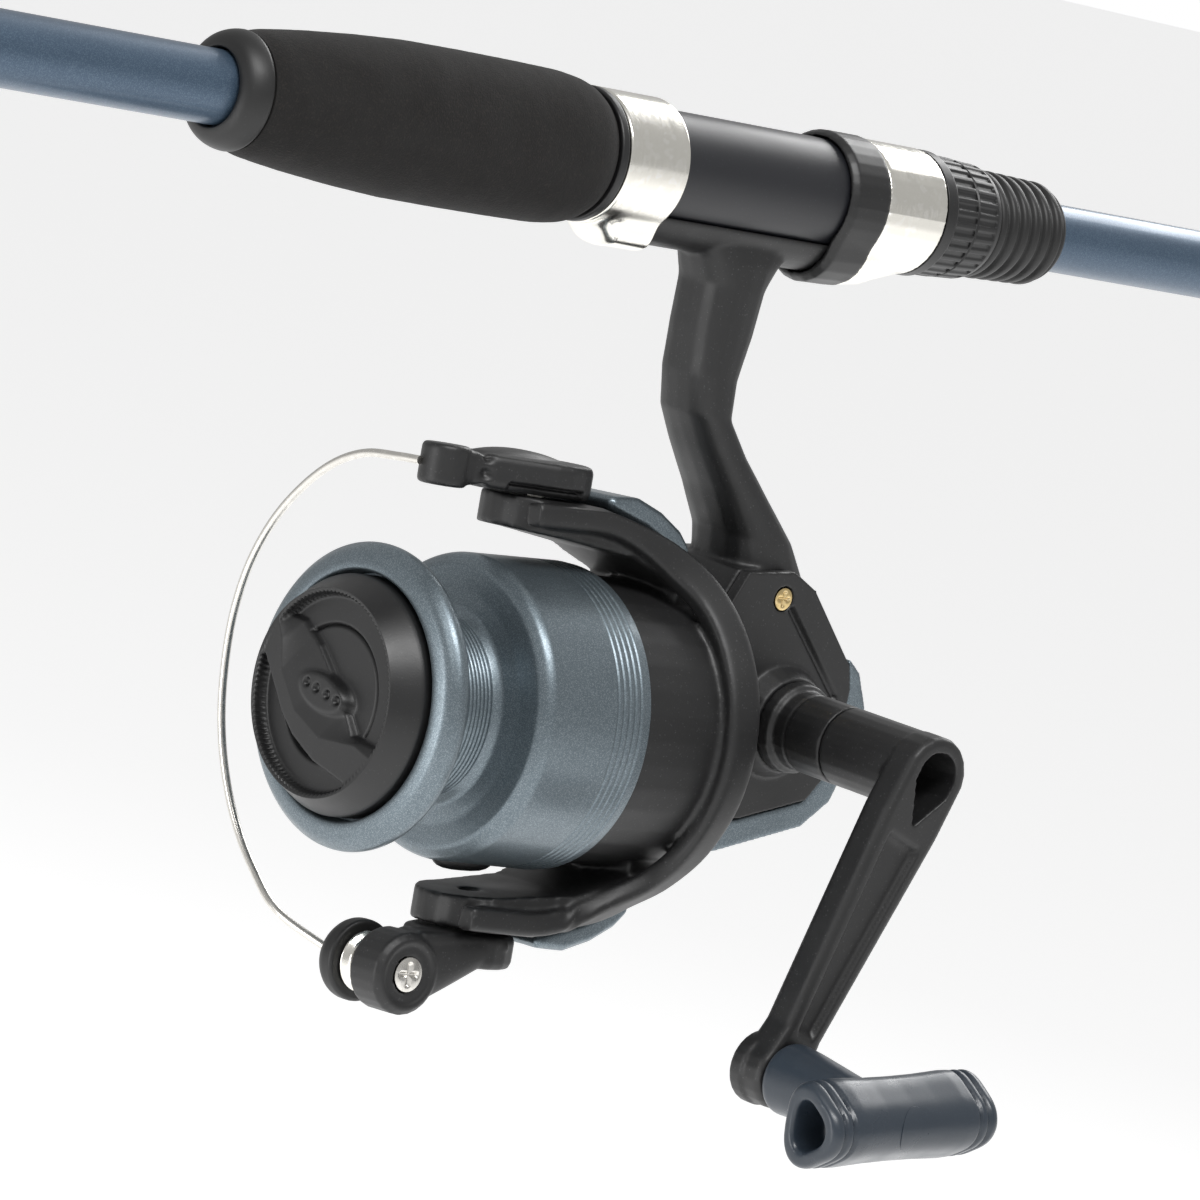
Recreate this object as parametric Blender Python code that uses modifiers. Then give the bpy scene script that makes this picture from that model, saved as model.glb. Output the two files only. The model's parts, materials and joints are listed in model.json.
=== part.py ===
"""Telescopic spinning rod, closed for carrying, with a spinning reel clamped under its seat.

Sizes are in millimetres and the helpers turn them into metres. The rod lies along X with its
butt at +X and its axis at y = z = 0. The reel hangs below, on an axis parallel to the rod's.
"""

import math

import bmesh
import bpy
import numpy as np
from mathutils import Matrix, Vector

MM = 0.001
GAP = 0.3  # between pieces that touch
STEPS = 24  # sides of a round piece

# Rod
BLANK_R = 6.2
BLANK_WALL = 0.9
HANDLE_FRONT = -185.0
HANDLE_BACK = 316.0
SECTION_WALL = 0.85
SECTION_COUNT = 4
SECTION_BACK = 298.0
GUIDE_LENGTH = 11.0
GUIDE_PITCH = 14.5
GUIDE_RING_R = (8.5, 6.8, 5.4, 4.2)
GUIDE_WIRE_R = 0.9

# Grip and reel seat
CHECK_FRONT = -118.8
GRIP_FRONT = -113.4
GRIP_BACK = -38.4
HOOD_FRONT = -36.0
HOOD_MOUTH = -22.0
SEAT_R = 10.1
HOOD_R = 11.7
HOOD_WALL = 1.2
COLLAR_FRONT = 18.0
COLLAR_BACK = 27.0
SLIDING_HOOD_BACK = 41.8
NUT_BACK = 57.0
NUT_GRIP_BACK = 76.0
THREAD_R = 9.0
FOOT_HALF = 30.5
FOOT_LOBE = 7.6
LOBE_DROP = 6.0

# Reel frame
AXIS_DROP = 97.3  # reel axis below the rod's
SHAFT_R = 1.75
CASE_FRONT = 9.5
CASE_REAR = 44.0
CASE_HALF = 12.0
CASE_WALL = 1.9
COVER_PLATE = 2.4
NOSE_R = 9.2
NOSE_FRONT = 1.0
BEARING_R = 6.0
CRANK_X = 27.5
CRANK_UP = 5.2  # crank axis above the reel's
CRANK_SHAFT_R = 2.5
BOSS_R = 9.3
BOSS_LENGTH = 3.6
SCREW_PLACES = ((22.5, 27.0 - AXIS_DROP), (13.0, -11.0 - AXIS_DROP))
LEVER_X = 22.0
REEL = (0, 0, -AXIS_DROP)

# Rotor and bail
ROTOR_BACK = 7.5
DRUM_R = 25.3
DRUM_FRONT = -26.0
DRUM_WALL = 2.2
WEB_FRONT = -5.0
WEB_BACK = -1.5
ARM_FACE = 37.6  # outer face of a rotor arm from the reel's axis
ARM_HALF = 11.5
BAIL_X = -27.2  # pivot of the bail along the arms
BAIL_PLATE = 6.0
BAIL_ROOT_R = 9.3
BAIL_SCREW_R = 1.5
WIRE_R = 0.75
NOSE_X = -49.2
ROLLER_X = -46.0
ROLLER_Y = 3.5  # the roller's offset across the arm
ROTOR_TURN = math.radians(-4.4)  # of the rotor at rest, about the reel's axis
ROLLER_DROP = 45.6
ROLLER_HUB_R = 7.2
ROLLER_R = 5.4

# Spool and drag
LIP_R = 26.5
LIP_X = -60.0
ARBOR_R = 16.4
SKIRT_R = 27.0
SKIRT_WALL = 1.1
SKIRT_FRONT = -39.8
SKIRT_BACK = -16.5
KNOB_R = 20.7
KNOB_FACE = -68.3
KNOB_FACE_R = 17.9

# Gears: the drive gear is a face gear that turns the skew-toothed pinion
GEAR_TEETH = 40
PINION_TEETH = 8
PINION_R = 3.27
PINION_SHANK = 3.0
TOOTH_HALF = 0.45
SKEW = math.radians(45)
MESH_GAP = 0.16
GEAR_OUTER = 13.2
GEAR_INNER = 11.2
GEAR_BACK = 7.0
PINION_TOOTH_FRONT = 12.0
PINION_TOOTH_BACK = 20.2

# Crank
SHANK_R = 7.1
FOLD_X = 3.4  # fold pin from the crank's axis, across the arm
FOLD_Y = -34.4
KNUCKLE_R = 3.8
KNUCKLE_HALF = 5.2
TONGUE = 6.0
ARM_LENGTH = 57.8
ARM_LEAN = math.radians(20.4)  # of the arm, from straight down towards the tip
ARM_INNER = -46.6
ARM_OUTER = -53.2
ARM_END_HALF = 4.6
KNOB_BOSS_R = 6.5
SPINDLE_R = 2.0
GRIP_BAR = 19.6  # half length of the T-shaped knob
GRIP_TILT = math.radians(5.5)
GRIP_NEAR = -72.8
GRIP_FAR = -86.2
GRIP_HEIGHT = 15.0


def clear_scene():
    for thing in list(bpy.data.objects):
        bpy.data.objects.remove(thing)


def new_collection(name):
    group = bpy.data.collections.new(name)
    bpy.context.scene.collection.children.link(group)
    return group


def paint(name, colour, roughness, metallic=0.0):
    material = bpy.data.materials.new(name)
    material.use_nodes = True
    shader = material.node_tree.nodes["Principled BSDF"]
    shader.inputs["Base Color"].default_value = (*colour, 1)
    shader.inputs["Roughness"].default_value = roughness
    shader.inputs["Metallic"].default_value = metallic
    return material


def add_object(name, mesh, group, material=None):
    thing = bpy.data.objects.new(name, mesh)
    group.objects.link(thing)
    if material:
        mesh.materials.append(material)
    return thing


def mesh_from(name, bm):
    """Turns a bmesh in millimetres into a mesh in metres, with its faces outwards."""
    bmesh.ops.scale(bm, vec=(MM, MM, MM), verts=bm.verts)
    bmesh.ops.recalc_face_normals(bm, faces=bm.faces)
    mesh = bpy.data.meshes.new(name)
    bm.to_mesh(mesh)
    bm.free()
    return mesh


def smooth(thing):
    thing.data.shade_smooth()
    thing.data.set_sharp_from_angle(angle=math.radians(35))
    return thing


def turned(name, profile, group, material=None, at=(0, 0, 0), along="X", steps=STEPS):
    """Turns (distance, radius) points round a line through `at`. A profile that leaves the
    line and comes back to it is solid, and any other one is closed into a ring."""
    corners = [(radius, distance) for distance, radius in profile]
    area = sum(a[0] * b[1] - b[0] * a[1] for a, b in zip(corners, corners[1:] + corners[:1]))
    if area > 0:
        corners.reverse()
    on_axis = profile[0][1] == 0 and profile[-1][1] == 0
    edges = [(i, i + 1) for i in range(len(corners) - 1)]
    if not on_axis:
        edges.append((len(corners) - 1, 0))
    mesh = bpy.data.meshes.new(name)
    mesh.from_pydata([(r * MM, 0, d * MM) for r, d in corners], edges, [])
    thing = add_object(name, mesh, group, material)
    thing.location = Vector(at) * MM
    thing.rotation_euler = {"X": (0, math.pi / 2, 0), "Y": (-math.pi / 2, 0, 0), "Z": (0, 0, 0)}[along]
    screw = thing.modifiers.new("Turn", "SCREW")
    screw.steps = screw.render_steps = steps
    screw.use_merge_vertices = True
    screw.merge_threshold = 0.00001
    screw.use_smooth_shade = True
    return thing


def tube(name, start, end, outer, inner, group, material=None, at=(0, 0, 0), along="X", steps=STEPS):
    ends = [(start, inner), (start, outer), (end, outer), (end, inner)]
    return turned(name, ends, group, material, at, along, steps)


def pin(name, start, end, radius, group, material=None, at=(0, 0, 0), along="X", steps=18):
    ends = [(start, 0), (start, radius), (end, radius), (end, 0)]
    return turned(name, ends, group, material, at, along, steps)


def plate(name, outline, low, high, group, material=None, normal="Y", rounding=0.0, steps=2):
    """A flat outline between two levels of its normal: in X and Z for Y, in X and Y for Z."""
    bm = bmesh.new()
    if normal == "Y":
        corners = [bm.verts.new((x, low, z)) for x, z in outline]
        push = Vector((0, high - low, 0))
    else:
        corners = [bm.verts.new((x, y, low)) for x, y in outline]
        push = Vector((0, 0, high - low))
    face = bm.faces.new(corners)
    made = bmesh.ops.extrude_face_region(bm, geom=[face])["geom"]
    bmesh.ops.translate(bm, vec=push, verts=[v for v in made if isinstance(v, bmesh.types.BMVert)])
    thing = add_object(name, mesh_from(name, bm), group, material)
    if rounding:
        bevel = thing.modifiers.new("Round", "BEVEL")
        bevel.width = rounding * MM
        bevel.segments = steps
        bevel.limit_method = "ANGLE"
        bevel.angle_limit = math.radians(50)
    return thing


def loft(name, rings, group, material=None, hollow=False):
    """Joins rings with equal numbers of points, capped at both ends or closed as a sleeve."""
    bm = bmesh.new()
    rows = [[bm.verts.new(point) for point in ring] for ring in rings]
    count = len(rows[0])
    pairs = list(zip(rows, rows[1:]))
    if hollow:
        pairs.append((rows[-1], rows[0]))
    for a, b in pairs:
        for i in range(count):
            j = (i + 1) % count
            bm.faces.new((a[i], a[j], b[j], b[i]))
    if not hollow:
        bm.faces.new(rows[0])
        bm.faces.new(rows[-1])
    return smooth(add_object(name, mesh_from(name, bm), group, material))


def put_origin(thing, point):
    """Moves a piece's origin to a point, in millimetres, and leaves the piece where it is."""
    place = Vector(point) * MM
    thing.data.transform(Matrix.Translation(-place))
    thing.location = thing.location + place


def combine(thing, other, operation, solver="EXACT"):
    modifier = thing.modifiers.new(operation.title(), "BOOLEAN")
    modifier.operation = operation
    modifier.object = other
    modifier.solver = solver
    other.hide_render = True
    other.display_type = "WIRE"


def cut(thing, *cutters, solver="EXACT"):
    for cutter in cutters:
        combine(thing, cutter, "DIFFERENCE", solver)


def join(thing, *others, solver="EXACT"):
    for other in others:
        combine(thing, other, "UNION", solver)


def arc(centre, radius, start, end, count):
    """Points on an arc from one angle to another, in degrees."""
    angles = np.radians(np.linspace(start, end, count))
    return [(centre[0] + radius * math.cos(a), centre[1] + radius * math.sin(a)) for a in angles]


def reel(x, up):
    """A point given along and above the reel's axis, as (x, z)."""
    return (x, up - AXIS_DROP)


def reel_points(points):
    return [reel(x, up) for x, up in points]



# ---------------------------------------------------------------- rod


def make_blank():
    tube("handle_blank", HANDLE_FRONT, HANDLE_BACK, BLANK_R, BLANK_R - BLANK_WALL, PARTS, BLUE)
    collar = BLANK_R + GAP
    rim = collar + 1.1
    front = HANDLE_FRONT
    turned(
        "front_collar",
        [(front, collar), (front, rim), (front + 12, rim), (front + 14, collar + 0.4), (front + 14, collar)],
        PARTS, STEEL,
    )
    back = HANDLE_BACK
    turned(
        "butt_collar",
        [(back - 26, collar), (back - 26, collar + 0.9), (back - 23, collar + 2), (back, collar + 2), (back, collar)],
        PARTS, BLACK,
    )
    bore = BLANK_R - BLANK_WALL - GAP
    start = back + GAP
    turned(
        "butt_cap",
        [(back - 12, 0), (back - 12, bore), (start, bore), (start, collar + 2.4), (start + 15, collar + 2.4),
         (start + 19, collar + 0.8), (start + 20, collar - 1.6), (start + 20, 0)],
        PARTS, RUBBER,
    )


def section_radii():
    """Outer radius of each sliding section, from the widest, each a gap inside the last bore."""
    radii = []
    bore = BLANK_R - BLANK_WALL
    for _ in range(SECTION_COUNT):
        radii.append(bore - GAP)
        bore = bore - GAP - SECTION_WALL
    return radii


def make_sections():
    """The nested sections and their line guides. A guide sits on each section's front end."""
    for index, radius in enumerate(section_radii()):
        number = index + 2
        front = HANDLE_FRONT - GUIDE_PITCH * (index + 1)
        name = f"rod_section_{number}"
        if index < SECTION_COUNT - 1:
            tube(name, front, SECTION_BACK, radius, radius - SECTION_WALL, PARTS, BLUE, steps=20)
        else:
            pin(name, front, SECTION_BACK, radius, PARTS, BLUE, steps=16)
        make_guide(number, front, radius, GUIDE_RING_R[index])


def make_guide(number, front, section_r, ring_r):
    sleeve_r = section_r + GAP
    guide = tube(
        f"guide_{number}", front, front + GUIDE_LENGTH, sleeve_r + 0.8, sleeve_r, PARTS, STEEL, steps=20
    )
    drop = sleeve_r + 1.5 + ring_r
    bpy.ops.mesh.primitive_torus_add(
        major_radius=ring_r * MM, minor_radius=GUIDE_WIRE_R * MM, major_segments=18, minor_segments=6,
        location=((front + 1.5) * MM, 0, -drop * MM), rotation=(0, math.pi / 2, 0),
    )
    ring = move_to_helpers(bpy.context.object, f"guide_ring_{number}")
    top = -sleeve_r - 0.3
    foot = plate(
        f"guide_foot_{number}",
        [(front + 0.7, top), (front + 0.7, -drop + ring_r), (front + 2.3, -drop + ring_r), (front + 9, top)],
        -0.9, 0.9, HELPERS,
    )
    join(guide, foot, ring)


def move_to_helpers(thing, name):
    thing.name = name
    for group in list(thing.users_collection):
        group.objects.unlink(thing)
    HELPERS.objects.link(thing)
    return thing


def make_grip():
    bore = BLANK_R + GAP
    x = CHECK_FRONT
    turned(
        "winding_check",
        [(x, bore), (x, 7.2), (x + 0.8, 7.9), (x + 1.9, 9.3), (x + 3.5, 9.9), (GRIP_FRONT - GAP, 10.1),
         (GRIP_FRONT - GAP, bore)],
        PARTS, RUBBER,
    )
    length = GRIP_BACK - GRIP_FRONT
    swell = [(0.0, 9.7), (0.03, 10.5), (0.09, 11.1), (0.16, 11.7), (0.3, 12.6), (0.44, 13.2), (0.6, 13.3),
             (0.76, 13.25), (0.89, 13.1), (0.95, 12.6), (0.985, 11.8), (1.0, 10.7)]
    profile = [(GRIP_FRONT + share * length, radius) for share, radius in swell]
    turned("foregrip", [(GRIP_FRONT, bore)] + profile + [(GRIP_BACK, bore)], PARTS, FOAM, steps=28)
    tube("grip_ring", GRIP_BACK + GAP, HOOD_FRONT - GAP, HOOD_R, bore, PARTS, BLACK, steps=32)


def hood_ring(x, radius, lobe, count=36):
    """A circle round the rod with a lobe below it that takes the reel's foot."""
    ring = []
    for i in range(count):
        angle = 2 * math.pi * i / count
        out = radius
        side = LOBE_DROP * math.sin(angle)
        if lobe > abs(side) and math.cos(angle) > 0:
            out = max(radius, LOBE_DROP * math.cos(angle) + math.sqrt(lobe**2 - side**2))
        ring.append((x, out * math.sin(angle), -out * math.cos(angle)))
    return ring


def make_seat():
    bore = BLANK_R + GAP
    thread_start = COLLAR_BACK + 3
    turned(
        "seat_tube",
        [(HOOD_FRONT, bore), (HOOD_FRONT, SEAT_R), (thread_start, SEAT_R), (thread_start, THREAD_R),
         (NUT_BACK, THREAD_R), (NUT_BACK, bore)],
        PARTS, SATIN,
    )
    inner = SEAT_R + GAP
    pocket = FOOT_LOBE + GAP
    shell = pocket + HOOD_WALL
    mouth = HOOD_MOUTH
    outside = [(HOOD_FRONT, HOOD_R, 0), (HOOD_FRONT + 3, HOOD_R, 5.9), (HOOD_FRONT + 6, HOOD_R, shell),
               (mouth, HOOD_R, shell)]
    inside = [(mouth, inner, pocket), (HOOD_FRONT + 5, inner, pocket), (HOOD_FRONT + 3.5, inner, 0),
              (HOOD_FRONT, inner, 0)]
    loft("fixed_hood", [hood_ring(*row) for row in outside + inside], PARTS, CHROME, hollow=True)
    front = COLLAR_FRONT
    back = COLLAR_BACK
    outside = [(front, HOOD_R - 0.7, shell - 0.4), (front + 1.2, HOOD_R, shell + 0.4), (back, HOOD_R, shell + 0.2)]
    inside = [(back, inner, pocket), (front, inner, pocket)]
    loft("hood_collar", [hood_ring(*row) for row in outside + inside], PARTS, BLACK, hollow=True)
    front = COLLAR_BACK + GAP
    back = SLIDING_HOOD_BACK
    radius = HOOD_R - 0.3
    outside = [(front, radius, shell), (front + 5, radius, shell - 0.6), (back - 1, radius, 0), (back, radius, 0)]
    inside = [(back, inner, 0), (front + 8, inner, 0), (front + 5, inner, pocket), (front, inner, pocket)]
    loft("sliding_hood", [hood_ring(*row) for row in outside + inside], PARTS, CHROME, hollow=True)


def make_nut():
    bore = THREAD_R + GAP
    front = SLIDING_HOOD_BACK + GAP
    turned(
        "locking_nut",
        [(front, bore), (front, 11.3), (front + 4, 11.4), (NUT_BACK - 1, 10.5), (NUT_BACK, 10.1), (NUT_BACK, bore)],
        PARTS, BLACK,
    )
    front = NUT_BACK + GAP
    clear = BLANK_R + 2 * GAP
    ribs = 6
    pitch = (NUT_GRIP_BACK - front - 1.2) / ribs
    profile = [(front, clear)]
    for i in range(ribs):
        start = front + i * pitch
        crest = 9.9 - 0.08 * i
        profile += [(start, crest - 1.0), (start + 0.5 * pitch, crest)]
    profile += [(NUT_GRIP_BACK - 1.2, 9.0), (NUT_GRIP_BACK, 8.2), (NUT_GRIP_BACK, clear)]
    turned("nut_grip", profile, PARTS, RUBBER, steps=20)


# ---------------------------------------------------------------- reel frame


def stem_ring(z, front, rear, half, count=20):
    """A rounded section of the stem: fuller than an ellipse, in the plane at height z."""
    ring = []
    for i in range(count):
        angle = 2 * math.pi * i / count
        c, s = math.cos(angle), math.sin(angle)
        x = (front + rear) / 2 + (rear - front) / 2 * math.copysign(abs(c) ** 0.75, c)
        ring.append((x, half * math.copysign(abs(s) ** 0.75, s), z))
    return ring


def case_outline(inset=0.0):
    """The gear case seen from the side, drawn in by its wall for the hollow."""
    front = CASE_FRONT + inset
    rear = CASE_REAR - inset
    return reel_points([
        (front, -15.2 + inset), (front, 24 - 0.4 * inset), (front + 3.4, 31 - inset), (24, 32 - inset),
        (30 - 0.5 * inset, 29.2 - 0.9 * inset), (rear - 1.5, 16.5 - 0.4 * inset), (rear, 12 - 0.2 * inset),
        (rear, -2 + 0.4 * inset), (rear - 5, -8.6 + 0.9 * inset), (24, -12.8 + inset),
    ])


def make_reel_body():
    cover = -CASE_HALF + COVER_PLATE + GAP
    body = plate("reel_body", case_outline(), cover, CASE_HALF, PARTS, GRAPHITE)
    rings = [(-10.6, -9.5, 14.5, 6.4), (-13.6, -7.0, 11.5, 7.2), (-18, -4.7, 9.0, 7.4), (-26, -4.4, 8.4, 7.3),
             (-34, -3.6, 7.0, 7.2), (-41, -1.6, 7.4, 7.3), (-47, 2.6, 12.6, 7.8), (-54, 8.2, 20.0, 8.6),
             (-61, 12.9, 27.8, 9.2), (-67.5, 14.2, 33.0, 9.4), (-72, 14.2, 33.0, 9.4)]
    stem = loft("stem", [stem_ring(*ring) for ring in rings], HELPERS)
    toe = FOOT_HALF
    lobes = [(-toe, 6.7), (-toe + 3, FOOT_LOBE - 0.3), (-toe + 12, FOOT_LOBE), (toe - 12, FOOT_LOBE),
             (toe - 3, FOOT_LOBE - 0.3), (toe, 6.7)]
    foot = loft("foot", [foot_ring(x, lobe) for x, lobe in lobes], HELPERS)
    nose = pin("nose", NOSE_FRONT, CASE_FRONT + 1, NOSE_R, HELPERS, at=REEL, steps=STEPS)
    crank = (CRANK_X, 0, CRANK_UP - AXIS_DROP)
    far_boss = pin("far_boss", CASE_HALF - 1, CASE_HALF + 3, BOSS_R, HELPERS, at=crank, along="Y")
    join(body, stem, foot, nose, far_boss)
    inside = CASE_HALF - 2
    saddle = pin("saddle", -60, 60, SEAT_R + GAP, HELPERS, steps=36)
    hollow = plate("case_hollow", case_outline(CASE_WALL), cover - 5, inside, HELPERS)
    seat = pin("bearing_seat", NOSE_FRONT - 1, CASE_FRONT - 0.5, BEARING_R + GAP, HELPERS, at=REEL)
    way = pin("pinion_way", CASE_FRONT - 2, CASE_FRONT + 4, 3.7, HELPERS, at=REEL)
    far_seat = pin("far_seat", inside - 1, CASE_HALF + 2, BEARING_R + GAP, HELPERS, at=crank, along="Y")
    far_way = pin("far_way", inside, CASE_HALF + 5, CRANK_SHAFT_R + GAP, HELPERS, at=crank, along="Y")
    screws = [pin(f"screw_way_{n}", cover - 3, cover + 5, 1.3, HELPERS, at=(x, 0, z), along="Y", steps=12)
              for n, (x, z) in enumerate(SCREW_PLACES, 1)]
    posts = [pin(f"screw_post_{n}", cover, inside + 1, 2.6, HELPERS, at=(x, 0, z), along="Y", steps=12)
             for n, (x, z) in enumerate(SCREW_PLACES, 1)]
    cut(body, saddle, hollow)
    join(body, *posts)
    # The exact solver leaves open edges in these small holes.
    cut(body, seat, way, far_seat, far_way, *screws, solver="MANIFOLD")


def foot_ring(x, lobe, count=16):
    """The foot's underside is the hood's lobe, and its top lies inside the seat tube's cut."""
    top = -SEAT_R * 0.45
    spread = math.radians(52)
    ring = []
    for i in range(count):
        angle = -spread + 2 * spread * i / (count - 1)
        side = LOBE_DROP * math.sin(angle)
        out = LOBE_DROP * math.cos(angle) + math.sqrt(lobe**2 - side**2)
        ring.append((x, out * math.sin(angle), -out * math.cos(angle)))
    return ring + [(x, ring[-1][1] * 0.8, top), (x, ring[0][1] * 0.8, top)]



def make_covers():
    outer = -CASE_HALF
    inner = outer + COVER_PLATE
    cover = plate("side_cover", case_outline(), outer, inner, PARTS, GRAPHITE)
    crank = (CRANK_X, 0, CRANK_UP - AXIS_DROP)
    end = outer - BOSS_LENGTH
    profile = [(end, 0), (end, BOSS_R - 0.7), (outer, BOSS_R + 1), (inner - 0.5, BOSS_R + 1), (inner - 0.5, 0)]
    boss = turned("boss", profile, HELPERS, at=crank, along="Y")
    seat = pin("near_seat", outer - 2.4, inner + 1, BEARING_R + GAP, HELPERS, at=crank, along="Y")
    way = pin("near_way", outer - BOSS_LENGTH - 1, inner + 1, CRANK_SHAFT_R + GAP, HELPERS, at=crank, along="Y")
    holes = [pin(f"cover_hole_{n}", outer - 1, inner + 1, 1.3, HELPERS, at=(x, 0, z), along="Y", steps=12)
             for n, (x, z) in enumerate(SCREW_PLACES, 1)]
    sinks = [pin(f"cover_sink_{n}", outer - 1, outer + 1.1, 2.3, HELPERS, at=(x, 0, z), along="Y", steps=16)
             for n, (x, z) in enumerate(SCREW_PLACES, 1)]
    join(cover, boss)
    cut(cover, seat, way, *holes, *sinks, solver="MANIFOLD")
    for n, (x, z) in enumerate(SCREW_PLACES, 1):
        turned(
            f"cover_screw_{n}",
            [(outer - 0.2, 0), (outer - 0.2, 1.6), (outer + 0.1, 2.0), (outer + 0.8, 2.0), (outer + 0.8, 1.0),
             (outer + 6, 1.0), (outer + 6, 0)],
            PARTS, BRASS, at=(x, 0, z), along="Y", steps=16,
        )
    rear = CASE_REAR
    wrap = reel_points([
        (CASE_FRONT, -20.5), (20, -19.4), (rear - 4, -13.6), (rear + 1.8, -8.6), (rear + 5.2, 1), (rear + 5.4, 9),
        (rear + 2.2, 15.2), (rear - 1.0, 17.6), (rear - 1.2, 16.9), (rear + GAP, 12.1), (rear + GAP, -2.15),
        (rear - 4.85, -8.95), (24, -13.15), (CASE_FRONT, -15.55),
    ])
    shell = plate("rear_cover", wrap, -CASE_HALF + 0.6, CASE_HALF - 0.6, PARTS, SLATE)
    pivot = pin("lever_way", -19, -9, 1.5, HELPERS, at=(LEVER_X, 0, -AXIS_DROP), along="Z", steps=12)
    well = plate(
        "lever_well", [(LEVER_X - 4.5, -3.5), (LEVER_X + 11, -5.5), (LEVER_X + 11, 5.5), (LEVER_X - 4.5, 3.5)],
        -AXIS_DROP - 22, -AXIS_DROP - 17.9, HELPERS, normal="Z",
    )
    cut(shell, pivot, well)
    lever = plate(
        "anti_reverse_lever",
        [(LEVER_X - 2.6, -2.2), (LEVER_X + 7.5, -1.6), (LEVER_X + 9.3, 0), (LEVER_X + 7.5, 1.6), (LEVER_X - 2.6, 2.2)],
        -AXIS_DROP - 21.2, -AXIS_DROP - 18.2, PARTS, BLACK, normal="Z",
    )
    peg = pin("lever_peg", -19, -16.2, 1.2, HELPERS, at=(LEVER_X, 0, -AXIS_DROP), along="Z", steps=12)
    join(lever, peg)
    put_origin(lever, (LEVER_X, 0, -AXIS_DROP))



def make_bearings():
    shank = PINION_SHANK + GAP
    tube("pinion_bearing", 5.3, 8.7, BEARING_R, shank, PARTS, STEEL, at=REEL, steps=24)
    tube("one_way_clutch", NOSE_FRONT + 0.2, 5.0, BEARING_R, shank, PARTS, STEEL, at=REEL, steps=24)
    crank = (CRANK_X, 0, CRANK_UP - AXIS_DROP)
    bore = CRANK_SHAFT_R + GAP
    outer = -CASE_HALF
    tube("crank_bearing_near", outer - 2.1, outer + COVER_PLATE - 0.4, BEARING_R, bore, PARTS, STEEL, at=crank,
         along="Y", steps=24)
    tube("crank_bearing_far", CASE_HALF - 1.8, CASE_HALF + 1.7, BEARING_R, bore, PARTS, STEEL, at=crank,
         along="Y", steps=24)



# ---------------------------------------------------------------- gears and main shaft


def pinion_radius(angle):
    """Radius of the pinion's flank: a wave flattened at crest and root, one per tooth."""
    wave = np.clip(1.5 * np.cos(PINION_TEETH * angle), -1, 1)
    return PINION_R + TOOTH_HALF * wave


def pinion_twist(x):
    """Angle by which the skewed teeth have turned at x, about the reel's axis from +Y to +Z."""
    return x * math.tan(SKEW) / PINION_R


def make_pinion():
    count = PINION_TEETH * 6
    angles = np.linspace(0, 2 * math.pi, count, endpoint=False)
    rings = []
    for x in np.linspace(PINION_TOOTH_FRONT, PINION_TOOTH_BACK, 9):
        turn = pinion_twist(x)
        radius = pinion_radius(angles)
        rings.append([(x, r * math.cos(a + turn), r * math.sin(a + turn) - AXIS_DROP) for a, r in zip(angles, radius)])
    teeth = loft("pinion", rings, PARTS, BRASS)
    shank = pin("pinion_shank", WEB_FRONT - 4, PINION_TOOTH_FRONT + 1, PINION_SHANK, HELPERS, at=REEL)
    bore = pin("pinion_bore", -40, 60, SHAFT_R + GAP, HELPERS, at=REEL)
    join(teeth, shank)
    cut(teeth, bore)
    put_origin(teeth, REEL)


def gear_face(radii, angles):
    """Height of the gear's face above the reel's axis plane, cut by rolling the pinion over it.

    The gear turns about +Y through the crank's axis and the pinion about +X, five turns to one.
    Each point of the face keeps the highest place that the turning pinion reaches over it.
    """
    ratio = GEAR_TEETH / PINION_TEETH
    low = PINION_R - TOOTH_HALF + MESH_GAP
    height = np.full((len(radii), len(angles)), low)
    flank = np.linspace(0, 2 * math.pi, 721)
    for turn in np.radians(np.arange(-50, 50, 0.15)):
        # A point at (radius, angle) on the gear, seen along +Y, after the gear has turned.
        spot = angles[None, :] - turn
        x = CRANK_X + radii[:, None] * np.cos(spot)
        z = CRANK_UP + radii[:, None] * np.sin(spot)
        near = (abs(z) < PINION_R + TOOTH_HALF) & (x > PINION_TOOTH_FRONT - 0.5) & (x < PINION_TOOTH_BACK + 0.5)
        if not near.any():
            continue
        for i, j in np.argwhere(near):
            phase = pinion_twist(x[i, j]) + ratio * turn
            reach = pinion_radius(flank - phase)
            side = reach * np.sin(flank)
            out = reach * np.cos(flank)
            close = abs(side - z[i, j]) < 0.12
            if close.any():
                height[i, j] = max(height[i, j], out[close].max() + MESH_GAP)
    return height


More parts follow.
